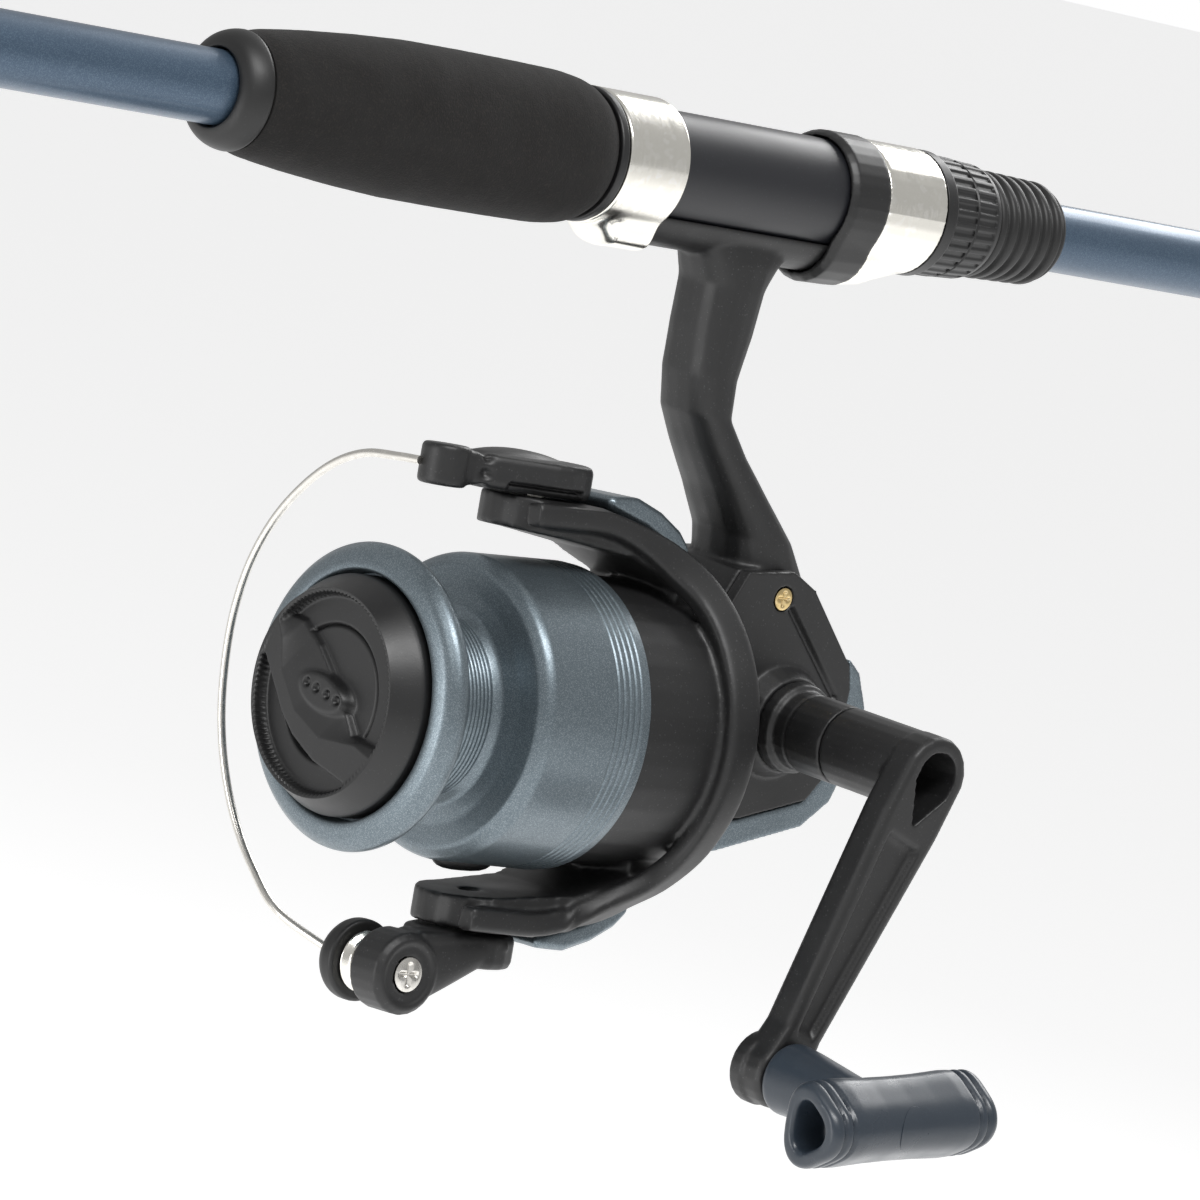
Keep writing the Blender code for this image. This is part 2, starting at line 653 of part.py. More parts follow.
def make_drive_gear():
    per_tooth = 6
    radii = np.array([GEAR_INNER, GEAR_OUTER])
    pitch = 2 * math.pi / GEAR_TEETH
    start = math.pi
    one = gear_face(radii, start + np.arange(per_tooth) * pitch / per_tooth)
    count = per_tooth * GEAR_TEETH
    angles = start + np.arange(count) * pitch / per_tooth
    crank_z = CRANK_UP - AXIS_DROP

    def ring(radius, heights):
        return [(CRANK_X + radius * math.cos(a), h, crank_z + radius * math.sin(a)) for a, h in zip(angles, heights)]

    flat = np.full(count, GEAR_BACK)
    rings = [ring(GEAR_INNER - 0.05, flat)]
    rings += [ring(radius, np.tile(row, GEAR_TEETH)) for radius, row in zip(radii, one)]
    rings += [ring(GEAR_OUTER + 0.05, flat)]
    teeth = loft("gear_teeth", rings, HELPERS, hollow=True)
    crank = (CRANK_X, 0, crank_z)
    deck = PINION_R + TOOTH_HALF + 0.7
    profile = [(-20.5, 0), (-20.5, CRANK_SHAFT_R), (deck, CRANK_SHAFT_R), (deck, GEAR_INNER + 0.8),
               (GEAR_BACK - 0.3, GEAR_INNER + 0.8), (GEAR_BACK - 0.3, 5.0), (CASE_HALF - 2.4, 5.0),
               (CASE_HALF - 2.4, CRANK_SHAFT_R), (CASE_HALF + 6.0, CRANK_SHAFT_R), (CASE_HALF + 6.0, 0)]
    shaft = turned("drive_gear", profile, PARTS, STEEL, at=crank, along="Y")
    join(shaft, teeth)


def make_main_shaft():
    turned(
        "main_shaft",
        [(-61.7, 0), (-61.7, SHAFT_R - 0.3), (-61.2, SHAFT_R), (34, SHAFT_R), (34, 0)],
        PARTS, STEEL, at=REEL, steps=20,
    )
    block = plate("shaft_slider", reel_points([(27.6, -4.4), (27.6, 2.2), (33.2, 2.2), (33.2, -4.4)]), -5.5, 2.3,
                  PARTS, BRASS)
    cut(block, pin("slider_bore", 20, 40, SHAFT_R + GAP, HELPERS, at=REEL))


# ---------------------------------------------------------------- rotor and bail


def arm_outline(sign):
    points = [(-44, ARM_FACE), (-20, ARM_FACE), (-8, 34.4), (0, 30.8), (5, 27.3), (ROTOR_BACK, 23.4),
              (ROTOR_BACK, 17), (-1.2, 17), (-1.2, 25.4), (-12, 29.6), (-26, 31.2), (-44, 32.6)]
    return reel_points([(x, sign * up) for x, up in points])


def make_rotor():
    drum = [(DRUM_FRONT, 0), (DRUM_FRONT, DRUM_R - 0.5), (DRUM_FRONT + 0.6, DRUM_R), (ROTOR_BACK - 2.5, DRUM_R),
            (ROTOR_BACK, DRUM_R - 2), (ROTOR_BACK, 0)]
    rotor = turned("rotor", drum, PARTS, GRAPHITE, at=REEL, steps=36)
    turning = [rotor]
    plan = arc((BAIL_X, 0), BAIL_ROOT_R + 0.2, 100, 260, 11)
    plan += [(-8, -ARM_HALF), (ROTOR_BACK + 1, -ARM_HALF), (ROTOR_BACK + 1, ARM_HALF), (-8, ARM_HALF)]
    for side, sign in (("top", 1), ("bottom", -1)):
        arm = plate(f"arm_{side}", arm_outline(sign), -ARM_HALF - 1, ARM_HALF + 1, HELPERS)
        ends = plate(f"arm_plan_{side}", plan, -AXIS_DROP - 45, -AXIS_DROP + 45, HELPERS, normal="Z")
        combine(arm, ends, "INTERSECT")
        join(rotor, arm)
        turning += [arm, ends]
    inner = DRUM_R - DRUM_WALL
    bore = PINION_SHANK + GAP
    pockets = [(DRUM_FRONT - 1, 0), (DRUM_FRONT - 1, inner), (WEB_FRONT, inner), (WEB_FRONT, bore),
               (WEB_BACK, bore), (WEB_BACK, inner - 0.6), (ROTOR_BACK + 1, inner - 0.6), (ROTOR_BACK + 1, 0)]
    hollow = turned("rotor_pockets", pockets, HELPERS, at=REEL, steps=36)
    cut(rotor, hollow)
    turning.append(hollow)
    way = BAIL_SCREW_R + GAP
    for side, sign in (("top", 1), ("bottom", -1)):
        pivot = (BAIL_X, 0, -AXIS_DROP)
        hole = pin(f"pivot_way_{side}", sign * 28, sign * 41, way, HELPERS, at=pivot, along="Z")
        cut(rotor, hole)
        head, end = sign * (ARM_FACE + 5.0), sign * (ARM_FACE + 6.4)
        start = sign * 33.0
        screw = turned(
            f"bail_screw_{side}",
            [(start, 0), (start, BAIL_SCREW_R), (head, BAIL_SCREW_R), (head, 3.0), (end, 3.0), (end, 0)],
            PARTS, STEEL, at=pivot, along="Z", steps=16,
        )
        low = GAP + 0.1
        outline = [(-17.2, ARM_FACE - 0.5 + low), (-17.2, 39.8), (-10, 40.0), (-4, 38.0), (1, 35.2), (3.8, 32.4),
                   (3.4, 28.7 + low), (0.2, 30.8 + low), (-8, 34.5 + low)]
        cover = plate(f"arm_cover_{side}", reel_points([(x, sign * up) for x, up in outline]), -8.4, 8.4, PARTS,
                      SLATE, rounding=0.9, steps=1)
        put_origin(cover, REEL)
        turning += [hole, screw, cover]
    nut = pin("rotor_nut", WEB_FRONT - 3.4, WEB_FRONT - GAP, 5.8, PARTS, BRASS, at=REEL, steps=6)
    cut(nut, pin("nut_bore", -20, 0, bore, HELPERS, at=REEL))
    turn_rotor(*turning)


def turn_rotor(*things):
    """Turns pieces round the reel's axis to where the rotor rests."""
    axis = Matrix.Translation(Vector(REEL) * MM)
    turn = axis @ Matrix.Rotation(ROTOR_TURN, 4, "X") @ axis.inverted()
    for thing in things:
        thing.matrix_world = turn @ thing.matrix_basis


def make_bail():
    base = ARM_FACE + 0.5
    way = BAIL_SCREW_R + GAP
    pivot = (BAIL_X, 0, -AXIS_DROP)
    root = arc((BAIL_X, 0), BAIL_ROOT_R, -110, 110, 13)
    outline = root + [(NOSE_X + 7, 4.6), (NOSE_X + 4, 3.6)] + arc((NOSE_X, 0), 4.2, 65, 295, 9)
    outline += [(NOSE_X + 4, -3.6), (NOSE_X + 7, -4.6)]
    low = base - AXIS_DROP
    arm = plate("bail_arm", outline, low, low + BAIL_PLATE, PARTS, GRAPHITE, normal="Z", rounding=1.2)
    top_hole = pin("arm_pivot_top", 36, 50, way, HELPERS, at=pivot, along="Z", steps=16)
    top_sink = pin("arm_sink_top", ARM_FACE + 4.7, 50, 3.3, HELPERS, at=pivot, along="Z", steps=16)
    cut(arm, top_hole, top_sink, solver="MANIFOLD")

    wall = ROLLER_Y - 5.2
    end = ROLLER_Y - 12.2
    fork = ROLLER_X + ROLLER_HUB_R + GAP
    outline = root + [(fork + 1.2, 4.5), (fork + 0.5, wall), (ROLLER_X + 1.6, wall), (ROLLER_X + 1.6, end), (-36, end)]
    low = -base - AXIS_DROP
    holder = plate("roller_arm", outline, low - BAIL_PLATE, low, PARTS, GRAPHITE, normal="Z", rounding=1.2)
    axle = (ROLLER_X, ROLLER_Y, -AXIS_DROP - ROLLER_DROP)
    hub_r = ROLLER_HUB_R
    hub = turned(
        "roller_hub",
        [(-12.8, 0), (-12.8, hub_r - 1), (-11.8, hub_r), (-5.6, hub_r), (-5.0, hub_r - 0.6), (-5.0, 0)],
        HELPERS, at=axle, along="Y",
    )
    join(holder, hub)
    hub_way = pin("hub_way", -14, -3, way, HELPERS, at=axle, along="Y", steps=16)
    hub_sink = pin("hub_sink", -14, -11.2, 3.3, HELPERS, at=axle, along="Y", steps=16)
    hole = pin("arm_pivot_bottom", -50, -36, way, HELPERS, at=pivot, along="Z", steps=16)
    sink = pin("arm_sink_bottom", -50, -ARM_FACE - 4.7, 3.3, HELPERS, at=pivot, along="Z", steps=16)
    cut(holder, hub_way, hub_sink, hole, sink, solver="MANIFOLD")
    screw = turned(
        "roller_screw",
        [(-12.9, 0), (-12.9, 2.4), (-12.4, 3.0), (-11.5, 3.0), (-11.5, BAIL_SCREW_R), (2.6, BAIL_SCREW_R), (2.6, 0)],
        PARTS, STEEL, at=axle, along="Y", steps=16,
    )
    roller = turned(
        "line_roller",
        [(-4.7, way), (-4.7, ROLLER_R), (-3.9, ROLLER_R), (-2.9, ROLLER_R - 1.1), (-1.9, ROLLER_R - 1.1),
         (-1.0, ROLLER_R), (-0.6, ROLLER_R), (-0.6, way)],
        PARTS, CHROME, at=axle, along="Y", steps=24,
    )
    cap = turned(
        "roller_cap",
        [(-0.3, way), (-0.3, hub_r), (2.4, hub_r), (4.2, 6.0), (5.4, 3.4), (5.4, 0), (2.9, 0), (2.9, way)],
        PARTS, RUBBER, at=axle, along="Y", steps=24,
    )
    wire = make_bail_wire()
    put_origin(wire, (BAIL_X, 0, 0))
    put_origin(arm, pivot)
    put_origin(holder, pivot)
    turn_rotor(arm, top_hole, top_sink, holder, hub, hub_way, hub_sink, hole, sink, screw, roller, cap, wire)


def make_bail_wire():
    """The wire bows from the arm's nose to the roller's cap, on the side away from the crank."""
    top = Vector((NOSE_X - 4.7, 1.0, ARM_FACE + 0.5 + BAIL_PLATE / 2))
    bottom = Vector((ROLLER_X - 1.0, ROLLER_Y + 6.0, -ROLLER_DROP))
    bend = [(-54.6, 6, 41.0), (-54.9, 14, 40.4), (-54.6, 22, 37.6), (-54.3, 29.4, 32.6), (-54.2, 35.8, 25.8),
            (-54.1, 40.4, 17.6), (-53.6, 43.2, 8.4), (-53.0, 44.0, -1.0), (-52.4, 43.2, -10.6),
            (-51.9, 40.4, -19.6), (-51.5, 35.8, -27.8), (-51.3, 29.2, -35.0), (-50.9, 21.4, -40.8)]
    points = [top] + [Vector(place) for place in bend] + [bottom]
    curve = bpy.data.curves.new("bail_wire", "CURVE")
    curve.dimensions = "3D"
    curve.bevel_depth = WIRE_R * MM
    curve.bevel_resolution = 1
    curve.use_fill_caps = True
    spline = curve.splines.new("POLY")
    spline.points.add(len(points) - 1)
    for point, place in zip(spline.points, points):
        point.co = (*(place * MM), 1)
    curve.materials.append(STEEL)
    wire = bpy.data.objects.new("bail_wire", curve)
    wire.location = Vector(REEL) * MM
    PARTS.objects.link(wire)
    return wire


# ---------------------------------------------------------------- spool and drag


def make_spool():
    inner = SKIRT_R - SKIRT_WALL
    x = LIP_X
    bore = SHAFT_R + GAP
    front = [(x - 2.3, KNOB_R + 0.6), (x - 2.6, 22.4), (x - 1.9, 24.8), (x, LIP_R), (x + 1.8, LIP_R - 0.2),
             (x + 3.4, 24.6), (x + 4.8, 20.5), (x + 5.8, ARBOR_R + 0.8), (x + 7.0, ARBOR_R)]
    rear = [(-43.6, ARBOR_R), (-42.4, ARBOR_R + 1), (-41.4, 20.5), (-41.0, 24.6), (SKIRT_FRONT, SKIRT_R - 0.9),
            (SKIRT_FRONT + 1.2, SKIRT_R - 0.4), (SKIRT_BACK - 2, SKIRT_R), (SKIRT_BACK, SKIRT_R - 0.2),
            (SKIRT_BACK, inner), (-37.2, inner - 0.3), (-38.8, 24.2), (-39.4, ARBOR_R - 1.8), (-52, ARBOR_R - 2.0),
            (-52, 5.0), (-36, 5.0), (-36, bore), (-55, bore), (-55, 15.0), (-58.0, 15.0), (-58.0, KNOB_R + 0.6)]
    turned("spool", front + rear, PARTS, SLATE, at=REEL, steps=30)
    turned("drag_washer", [(-56.2, bore), (-56.2, 14.4), (-55.3, 14.4), (-55.3, bore)], PARTS, FOAM, at=REEL, steps=24)
    turned("drag_plate", [(-57.4, bore), (-57.4, 14.2), (-56.5, 14.2), (-56.5, bore)], PARTS, STEEL, at=REEL, steps=24)
    clip_x, clip_r = -33.0, SKIRT_R + 0.1
    angle = math.radians(-98)
    clip = pin("line_clip", clip_r, clip_r + 1.3, 2.6, PARTS, BLACK, along="Z", steps=12)
    clip.location = Vector((clip_x, 0, -AXIS_DROP)) * MM
    clip.rotation_euler = (angle - math.pi / 2, 0, 0)


def make_drag_knob():
    face = KNOB_FACE
    floor = face + 2.6
    rim = KNOB_R
    bore = SHAFT_R + GAP
    lip = KNOB_FACE_R
    profile = [(floor, 0), (floor, lip - 1.0), (face + 0.3, lip - 0.8), (face, lip - 0.5), (face + 0.2, lip),
               (face + 4.7, rim), (-58.4, rim), (-58.4, bore), (-62.1, bore), (-62.1, 0)]
    knob = turned("drag_knob", profile, PARTS, BLACK, at=REEL, steps=36)
    half = lip - 1.3
    corners = [(face + 0.1, -half), (floor + 0.6, -half - 0.6), (floor + 0.6, half + 0.6), (face + 0.1, half)]
    bar = plate("drag_bar", corners, -3.6, 3.6, HELPERS, rounding=0.6, steps=1)
    bar.location = Vector(REEL) * MM
    join(knob, bar)


# ---------------------------------------------------------------- crank


def crank_frame():
    """Turns the crank's own drawing, in which the arm hangs straight down, to its lean."""
    lean = Matrix.Rotation(ARM_LEAN, 4, "Y")
    return Matrix.Translation(Vector((CRANK_X, 0, CRANK_UP - AXIS_DROP)) * MM) @ lean


def place_on_crank(*things):
    for thing in things:
        thing.matrix_world = crank_frame() @ thing.matrix_basis


def make_crank():
    near = -CASE_HALF - BOSS_LENGTH - GAP
    seam = FOLD_Y + KNUCKLE_R
    shank = turned(
        "crank_shank",
        [(near, 0), (near, SHANK_R + 1.2), (near - 2.2, SHANK_R + 1.0), (near - 2.8, SHANK_R), (seam + GAP, SHANK_R),
         (seam + GAP, 0)],
        PARTS, GRAPHITE, along="Y",
    )
    knuckle = (FOLD_X, FOLD_Y, 0)
    half = TONGUE / 2
    width = KNUCKLE_R - 0.3
    tongue = box("tongue", (FOLD_X - width, FOLD_Y, -half), (FOLD_X + width, seam + 2, half), HELPERS)
    tongue_end = pin("tongue_end", -half, half, width, HELPERS, at=knuckle, along="Z", steps=16)
    socket = pin("shank_socket", -21.0, near + 1, CRANK_SHAFT_R + GAP, HELPERS, along="Y")
    pin_r = 1.5
    pin_way = pin("pin_way", -9, 9, pin_r + GAP, HELPERS, at=knuckle, along="Z", steps=16)
    fold_pin = pin("fold_pin", -KNUCKLE_HALF, KNUCKLE_HALF, pin_r, PARTS, STEEL, at=knuckle, along="Z", steps=16)
    join(shank, tongue, tongue_end)
    cut(shank, socket, pin_way)
    start = CASE_HALF + 3 + GAP
    cap = turned("shaft_cap", [(start, 0), (start, 8.4), (start + 4.5, 8.2), (start + 6, 6.6), (start + 6, 0)],
                 PARTS, BLACK, along="Y")
    cap_socket = pin("cap_socket", CASE_HALF, CASE_HALF + 6.4, CRANK_SHAFT_R + GAP, HELPERS, along="Y")
    cut(cap, cap_socket)
    place_on_crank(shank, tongue, tongue_end, socket, pin_way, fold_pin, cap, cap_socket)
    make_crank_arm(pin_way, seam)


def box(name, low, high, group, material=None):
    bm = bmesh.new()
    bmesh.ops.create_cube(bm, size=1)
    bmesh.ops.scale(bm, vec=[h - l for l, h in zip(low, high)], verts=bm.verts)
    bmesh.ops.translate(bm, vec=[(h + l) / 2 for l, h in zip(low, high)], verts=bm.verts)
    return add_object(name, mesh_from(name, bm), group, material)


def make_crank_arm(pin_way, seam):
    """The hub holds the shank's tongue in a slot that is open towards +X, so it folds that way."""
    root = SHANK_R + 0.2
    end = (0, -ARM_LENGTH)
    outline = arc((0, 0), root, 10, 170, 9) + [(-root, -9), (-ARM_END_HALF, -ARM_LENGTH + 8)]
    outline += arc(end, KNOB_BOSS_R - 0.4, 155, 385, 13) + [(ARM_END_HALF, -ARM_LENGTH + 8), (root, -9)]
    arm = plate("crank_arm", outline, ARM_OUTER, ARM_INNER, PARTS, GRAPHITE, rounding=1.2)
    hub = pin("arm_hub", ARM_OUTER + 1.5, seam, SHANK_R, HELPERS, along="Y", steps=STEPS)
    corner = box("knuckle_corner", (FOLD_X, FOLD_Y, -20), (20, FOLD_Y + 20, 20), HELPERS)
    knuckle = pin("knuckle", -KNUCKLE_HALF, KNUCKLE_HALF, KNUCKLE_R, HELPERS, at=(FOLD_X, FOLD_Y, 0), along="Z",
                  steps=24)
    reach = KNUCKLE_R + 0.1
    side = TONGUE / 2 + GAP
    slot = box("slot", (FOLD_X - reach, FOLD_Y - reach, -side), (20, FOLD_Y + 20, side), HELPERS)
    boss = [(ARM_INNER - 2, 0), (ARM_INNER - 2, KNOB_BOSS_R), (ARM_INNER + 0.6, KNOB_BOSS_R),
            (ARM_INNER + 1.1, KNOB_BOSS_R - 0.6), (ARM_INNER + 1.1, 0)]
    tip = turned("knob_boss", boss, HELPERS, at=(0, 0, -ARM_LENGTH), along="Y")
    way = pin("spindle_way", ARM_OUTER - 1, ARM_INNER - 2, SPINDLE_R + GAP, HELPERS, at=(0, 0, -ARM_LENGTH), along="Y")
    drop = arc((0, 0), 4.6, 10, 170, 9) + [(-4.4, -2), (0, -9.5), (4.4, -2)]
    hollow = plate("hub_hollow", drop, ARM_OUTER - 1, ARM_OUTER + 9, HELPERS)
    join(arm, hub)
    cut(arm, corner)
    join(arm, knuckle, tip)
    cut(arm, slot, pin_way, way, hollow, solver="MANIFOLD")
    spindle = pin("knob_spindle", GRIP_FAR + 9, ARM_INNER - 2 - GAP, SPINDLE_R, PARTS, STEEL, at=(0, 0, -ARM_LENGTH),
                  along="Y", steps=16)
    put_origin(arm, (FOLD_X, FOLD_Y, 0))
    place_on_crank(arm, hub, corner, knuckle, slot, tip, way, hollow, spindle)


def make_knob():
    axis = crank_frame() @ Vector((0, 0, -ARM_LENGTH * MM))
    place = (axis.x / MM, 0, axis.z / MM)
    start = ARM_OUTER - GAP
    knob = turned(
        "handle_knob",
        [(start, 0), (start, 5.8), (start - 1, 6.4), (start - 5, 6.2), (GRIP_NEAR - 3, 4.8), (GRIP_NEAR - 3, 0)],
        PARTS, PLASTIC, at=place, along="Y",
    )
    rings = []
    depth = GRIP_NEAR - GRIP_FAR
    for share in (-1.0, -0.94, -0.3, 0.3, 0.94, 1.0):
        full = 0.9 if abs(share) == 1 else 1.0 if abs(share) > 0.5 else 0.94
        rings.append(grip_ring(share * GRIP_BAR, full * GRIP_HEIGHT / 2, full * depth / 2))
    bar = loft("grip_bar", rings, HELPERS)
    bar.location = Vector((place[0], (GRIP_NEAR + GRIP_FAR) / 2, place[2])) * MM
    bar.rotation_euler = (0, -GRIP_TILT, 0)
    join(knob, bar)
    cut(knob, pin("knob_bore", GRIP_FAR + 8.5, start + 1, SPINDLE_R + GAP, HELPERS, at=place, along="Y", steps=16))
    cut(knob, pin("plug_seat", GRIP_FAR - 1, GRIP_FAR + 2, 4.3, HELPERS, at=place, along="Y", steps=20))
    pin("knob_plug", GRIP_FAR + 0.3, GRIP_FAR + 1.7, 4.0, PARTS, PLASTIC, at=place, along="Y", steps=20)


def grip_ring(x, half_height, half_depth, count=18):
    """A triangle with full rounded corners, its flat side towards the arm."""
    ring = []
    for i in range(count):
        angle = 2 * math.pi * i / count
        bulge = 1 - 0.10 * math.cos(3 * angle)
        ring.append((x, half_depth * bulge * math.cos(angle), half_height * bulge * math.sin(angle)))
    return ring


clear_scene()
PARTS = new_collection("Fishing rod and reel")
HELPERS = new_collection("Cutters")
BLUE = paint("steel blue", (0.075, 0.125, 0.19), 0.35, 0.5)
SLATE = paint("slate blue metallic", (0.17, 0.24, 0.29), 0.35, 0.6)
BLACK = paint("black plastic", (0.016, 0.016, 0.017), 0.5)
GRAPHITE = paint("graphite plastic", (0.02, 0.02, 0.021), 0.45)
SATIN = paint("satin black tube", (0.02, 0.021, 0.024), 0.4)
RUBBER = paint("black rubber", (0.015, 0.015, 0.015), 0.6)
FOAM = paint("black foam", (0.012, 0.011, 0.010), 0.95)
STEEL = paint("nickel steel", (0.62, 0.60, 0.56), 0.25, 1.0)
CHROME = paint("polished steel", (0.72, 0.71, 0.66), 0.15, 1.0)
BRASS = paint("brass", (0.62, 0.47, 0.22), 0.3, 1.0)
PLASTIC = paint("slate plastic", (0.055, 0.075, 0.10), 0.35)

make_blank()
make_sections()
make_grip()
make_seat()
make_nut()
make_reel_body()
make_covers()
make_bearings()
make_pinion()
make_drive_gear()
make_main_shaft()
make_rotor()
make_bail()
make_spool()
make_drag_knob()
make_crank()
make_knob()
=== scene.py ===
import json
import math

import bmesh
import bpy
import numpy as np
from mathutils import Matrix, Vector


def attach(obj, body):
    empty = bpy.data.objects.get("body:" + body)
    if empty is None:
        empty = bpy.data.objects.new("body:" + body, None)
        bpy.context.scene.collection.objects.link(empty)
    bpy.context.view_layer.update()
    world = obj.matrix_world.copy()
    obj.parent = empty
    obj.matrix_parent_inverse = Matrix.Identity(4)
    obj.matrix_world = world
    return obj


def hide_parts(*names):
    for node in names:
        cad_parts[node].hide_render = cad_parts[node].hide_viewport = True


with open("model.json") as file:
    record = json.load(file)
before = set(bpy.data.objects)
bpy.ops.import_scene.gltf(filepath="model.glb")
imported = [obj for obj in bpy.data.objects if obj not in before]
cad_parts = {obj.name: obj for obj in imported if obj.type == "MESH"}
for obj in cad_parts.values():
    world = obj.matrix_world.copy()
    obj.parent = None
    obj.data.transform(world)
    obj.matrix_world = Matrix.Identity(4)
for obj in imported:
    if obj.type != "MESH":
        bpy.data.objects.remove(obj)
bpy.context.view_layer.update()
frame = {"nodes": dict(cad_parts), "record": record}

scene = bpy.context.scene
mm = 0.001
reelZ = -97.3  # height of the reel's axis, in millimetres
rotorRest = math.radians(-4.4)
print("frame loaded")


# camera

cameraSet = {
    "place": (-793.722, -829.337, 51.428),
    "right": (0.7257, -0.6526, 0.2180),
    "up": (-0.0850, 0.2294, 0.9696),
    "ahead": (0.6828, 0.7222, -0.1110),
    "lens": 197.74,
}

cameraData = bpy.data.cameras.new("camera")
cameraData.lens = cameraSet["lens"]
cameraData.sensor_width = 36
cameraData.clip_end = 300
camera = bpy.data.objects.new("camera", cameraData)
scene.collection.objects.link(camera)
back = [-value for value in cameraSet["ahead"]]
axes = zip(cameraSet["right"], cameraSet["up"], back, [value * mm for value in cameraSet["place"]])
camera.matrix_world = Matrix([list(row) for row in axes] + [[0, 0, 0, 1]])
scene.camera = camera


# node groups shared by the finishes

def newGroup(name, inputs, outputs):
    group = bpy.data.node_groups.new(name, "ShaderNodeTree")
    for title, kind, value in inputs:
        socket = group.interface.new_socket(title, in_out="INPUT", socket_type=kind)
        socket.default_value = value
    for title, kind in outputs:
        group.interface.new_socket(title, in_out="OUTPUT", socket_type=kind)
    return group, group.nodes.new("NodeGroupInput"), group.nodes.new("NodeGroupOutput")


def place(tree, kind, **settings):
    node = tree.nodes.new(kind)
    for key, value in settings.items():
        setattr(node, key, value)
    return node


def wire(tree, *pairs):
    for start, end in pairs:
        tree.links.new(start, end)


def makeFlecks():
    # small cells of which the brightest few per cent are picked out as flecks
    group, given, out = newGroup(
        "flecks",
        [("Scale", "NodeSocketFloat", 3000), ("Share", "NodeSocketFloat", 0.05),
         ("Base", "NodeSocketColor", (0, 0, 0, 1)),
         ("Fleck", "NodeSocketColor", (1, 1, 1, 1))],
        [("Color", "NodeSocketColor"), ("Mask", "NodeSocketFloat")],
    )
    where = place(group, "ShaderNodeTexCoord")
    cells = place(group, "ShaderNodeTexVoronoi")
    split = place(group, "ShaderNodeSeparateColor")
    limit = place(group, "ShaderNodeMath", operation="SUBTRACT")
    limit.inputs[0].default_value = 1
    pick = place(group, "ShaderNodeMapRange")
    pick.inputs["From Max"].default_value = 1
    mix = place(group, "ShaderNodeMix", data_type="RGBA")
    wire(group, (where.outputs["Object"], cells.inputs["Vector"]),
         (given.outputs["Scale"], cells.inputs["Scale"]),
         (cells.outputs["Color"], split.inputs["Color"]), (given.outputs["Share"], limit.inputs[1]),
         (split.outputs["Red"], pick.inputs["Value"]), (limit.outputs[0], pick.inputs["From Min"]),
         (pick.outputs["Result"], mix.inputs["Factor"]), (given.outputs["Base"], mix.inputs["A"]),
         (given.outputs["Fleck"], mix.inputs["B"]), (mix.outputs["Result"], out.inputs["Color"]),
         (pick.outputs["Result"], out.inputs["Mask"]))
    return group


def makeGrain():
    # two sizes of noise added together, as the height of a moulded or sprayed surface
    group, given, out = newGroup(
        "grain",
        [("Scale", "NodeSocketFloat", 2000), ("Coarse", "NodeSocketFloat", 0.4)],
        [("Height", "NodeSocketFloat")],
    )
    where = place(group, "ShaderNodeTexCoord")
    fine = place(group, "ShaderNodeTexNoise")
    fine.inputs["Detail"].default_value = 3
    slow = place(group, "ShaderNodeMath", operation="MULTIPLY")
    slow.inputs[1].default_value = 0.22
    coarse = place(group, "ShaderNodeTexNoise")
    share = place(group, "ShaderNodeMath", operation="MULTIPLY")
    total = place(group, "ShaderNodeMath", operation="ADD")
    wire(group, (where.outputs["Object"], fine.inputs["Vector"]),
         (where.outputs["Object"], coarse.inputs["Vector"]),
         (given.outputs["Scale"], fine.inputs["Scale"]), (given.outputs["Scale"], slow.inputs[0]),
         (slow.outputs[0], coarse.inputs["Scale"]), (coarse.outputs["Fac"], share.inputs[0]),
         (given.outputs["Coarse"], share.inputs[1]), (fine.outputs["Fac"], total.inputs[0]),
         (share.outputs[0], total.inputs[1]), (total.outputs[0], out.inputs["Height"]))
    return group


def makeRubbing():
    # slow patches and fine streaks that vary the gloss between two values
    group, given, out = newGroup(
        "rubbing",
        [("Scale", "NodeSocketFloat", 200), ("Stretch", "NodeSocketVector", (1, 1, 1)),
         ("Low", "NodeSocketFloat", 0.3),
         ("High", "NodeSocketFloat", 0.4)],
        [("Roughness", "NodeSocketFloat")],
    )
    where = place(group, "ShaderNodeTexCoord")
    stretch = place(group, "ShaderNodeVectorMath", operation="MULTIPLY")
    noise = place(group, "ShaderNodeTexNoise")
    noise.inputs["Detail"].default_value = 4
    spread = place(group, "ShaderNodeMapRange")
    spread.inputs["From Min"].default_value = 0.3
    spread.inputs["From Max"].default_value = 0.7
    wire(group, (where.outputs["Object"], stretch.inputs[0]), (given.outputs["Stretch"], stretch.inputs[1]),
         (stretch.outputs[0], noise.inputs["Vector"]), (given.outputs["Scale"], noise.inputs["Scale"]),
         (noise.outputs["Fac"], spread.inputs["Value"]), (given.outputs["Low"], spread.inputs["To Min"]),
         (given.outputs["High"], spread.inputs["To Max"]), (spread.outputs["Result"],
                                                            out.inputs["Roughness"]))
    return group


flecks = makeFlecks()
grain = makeGrain()
rubbing = makeRubbing()


# finishes, each under the name of its slot in the record

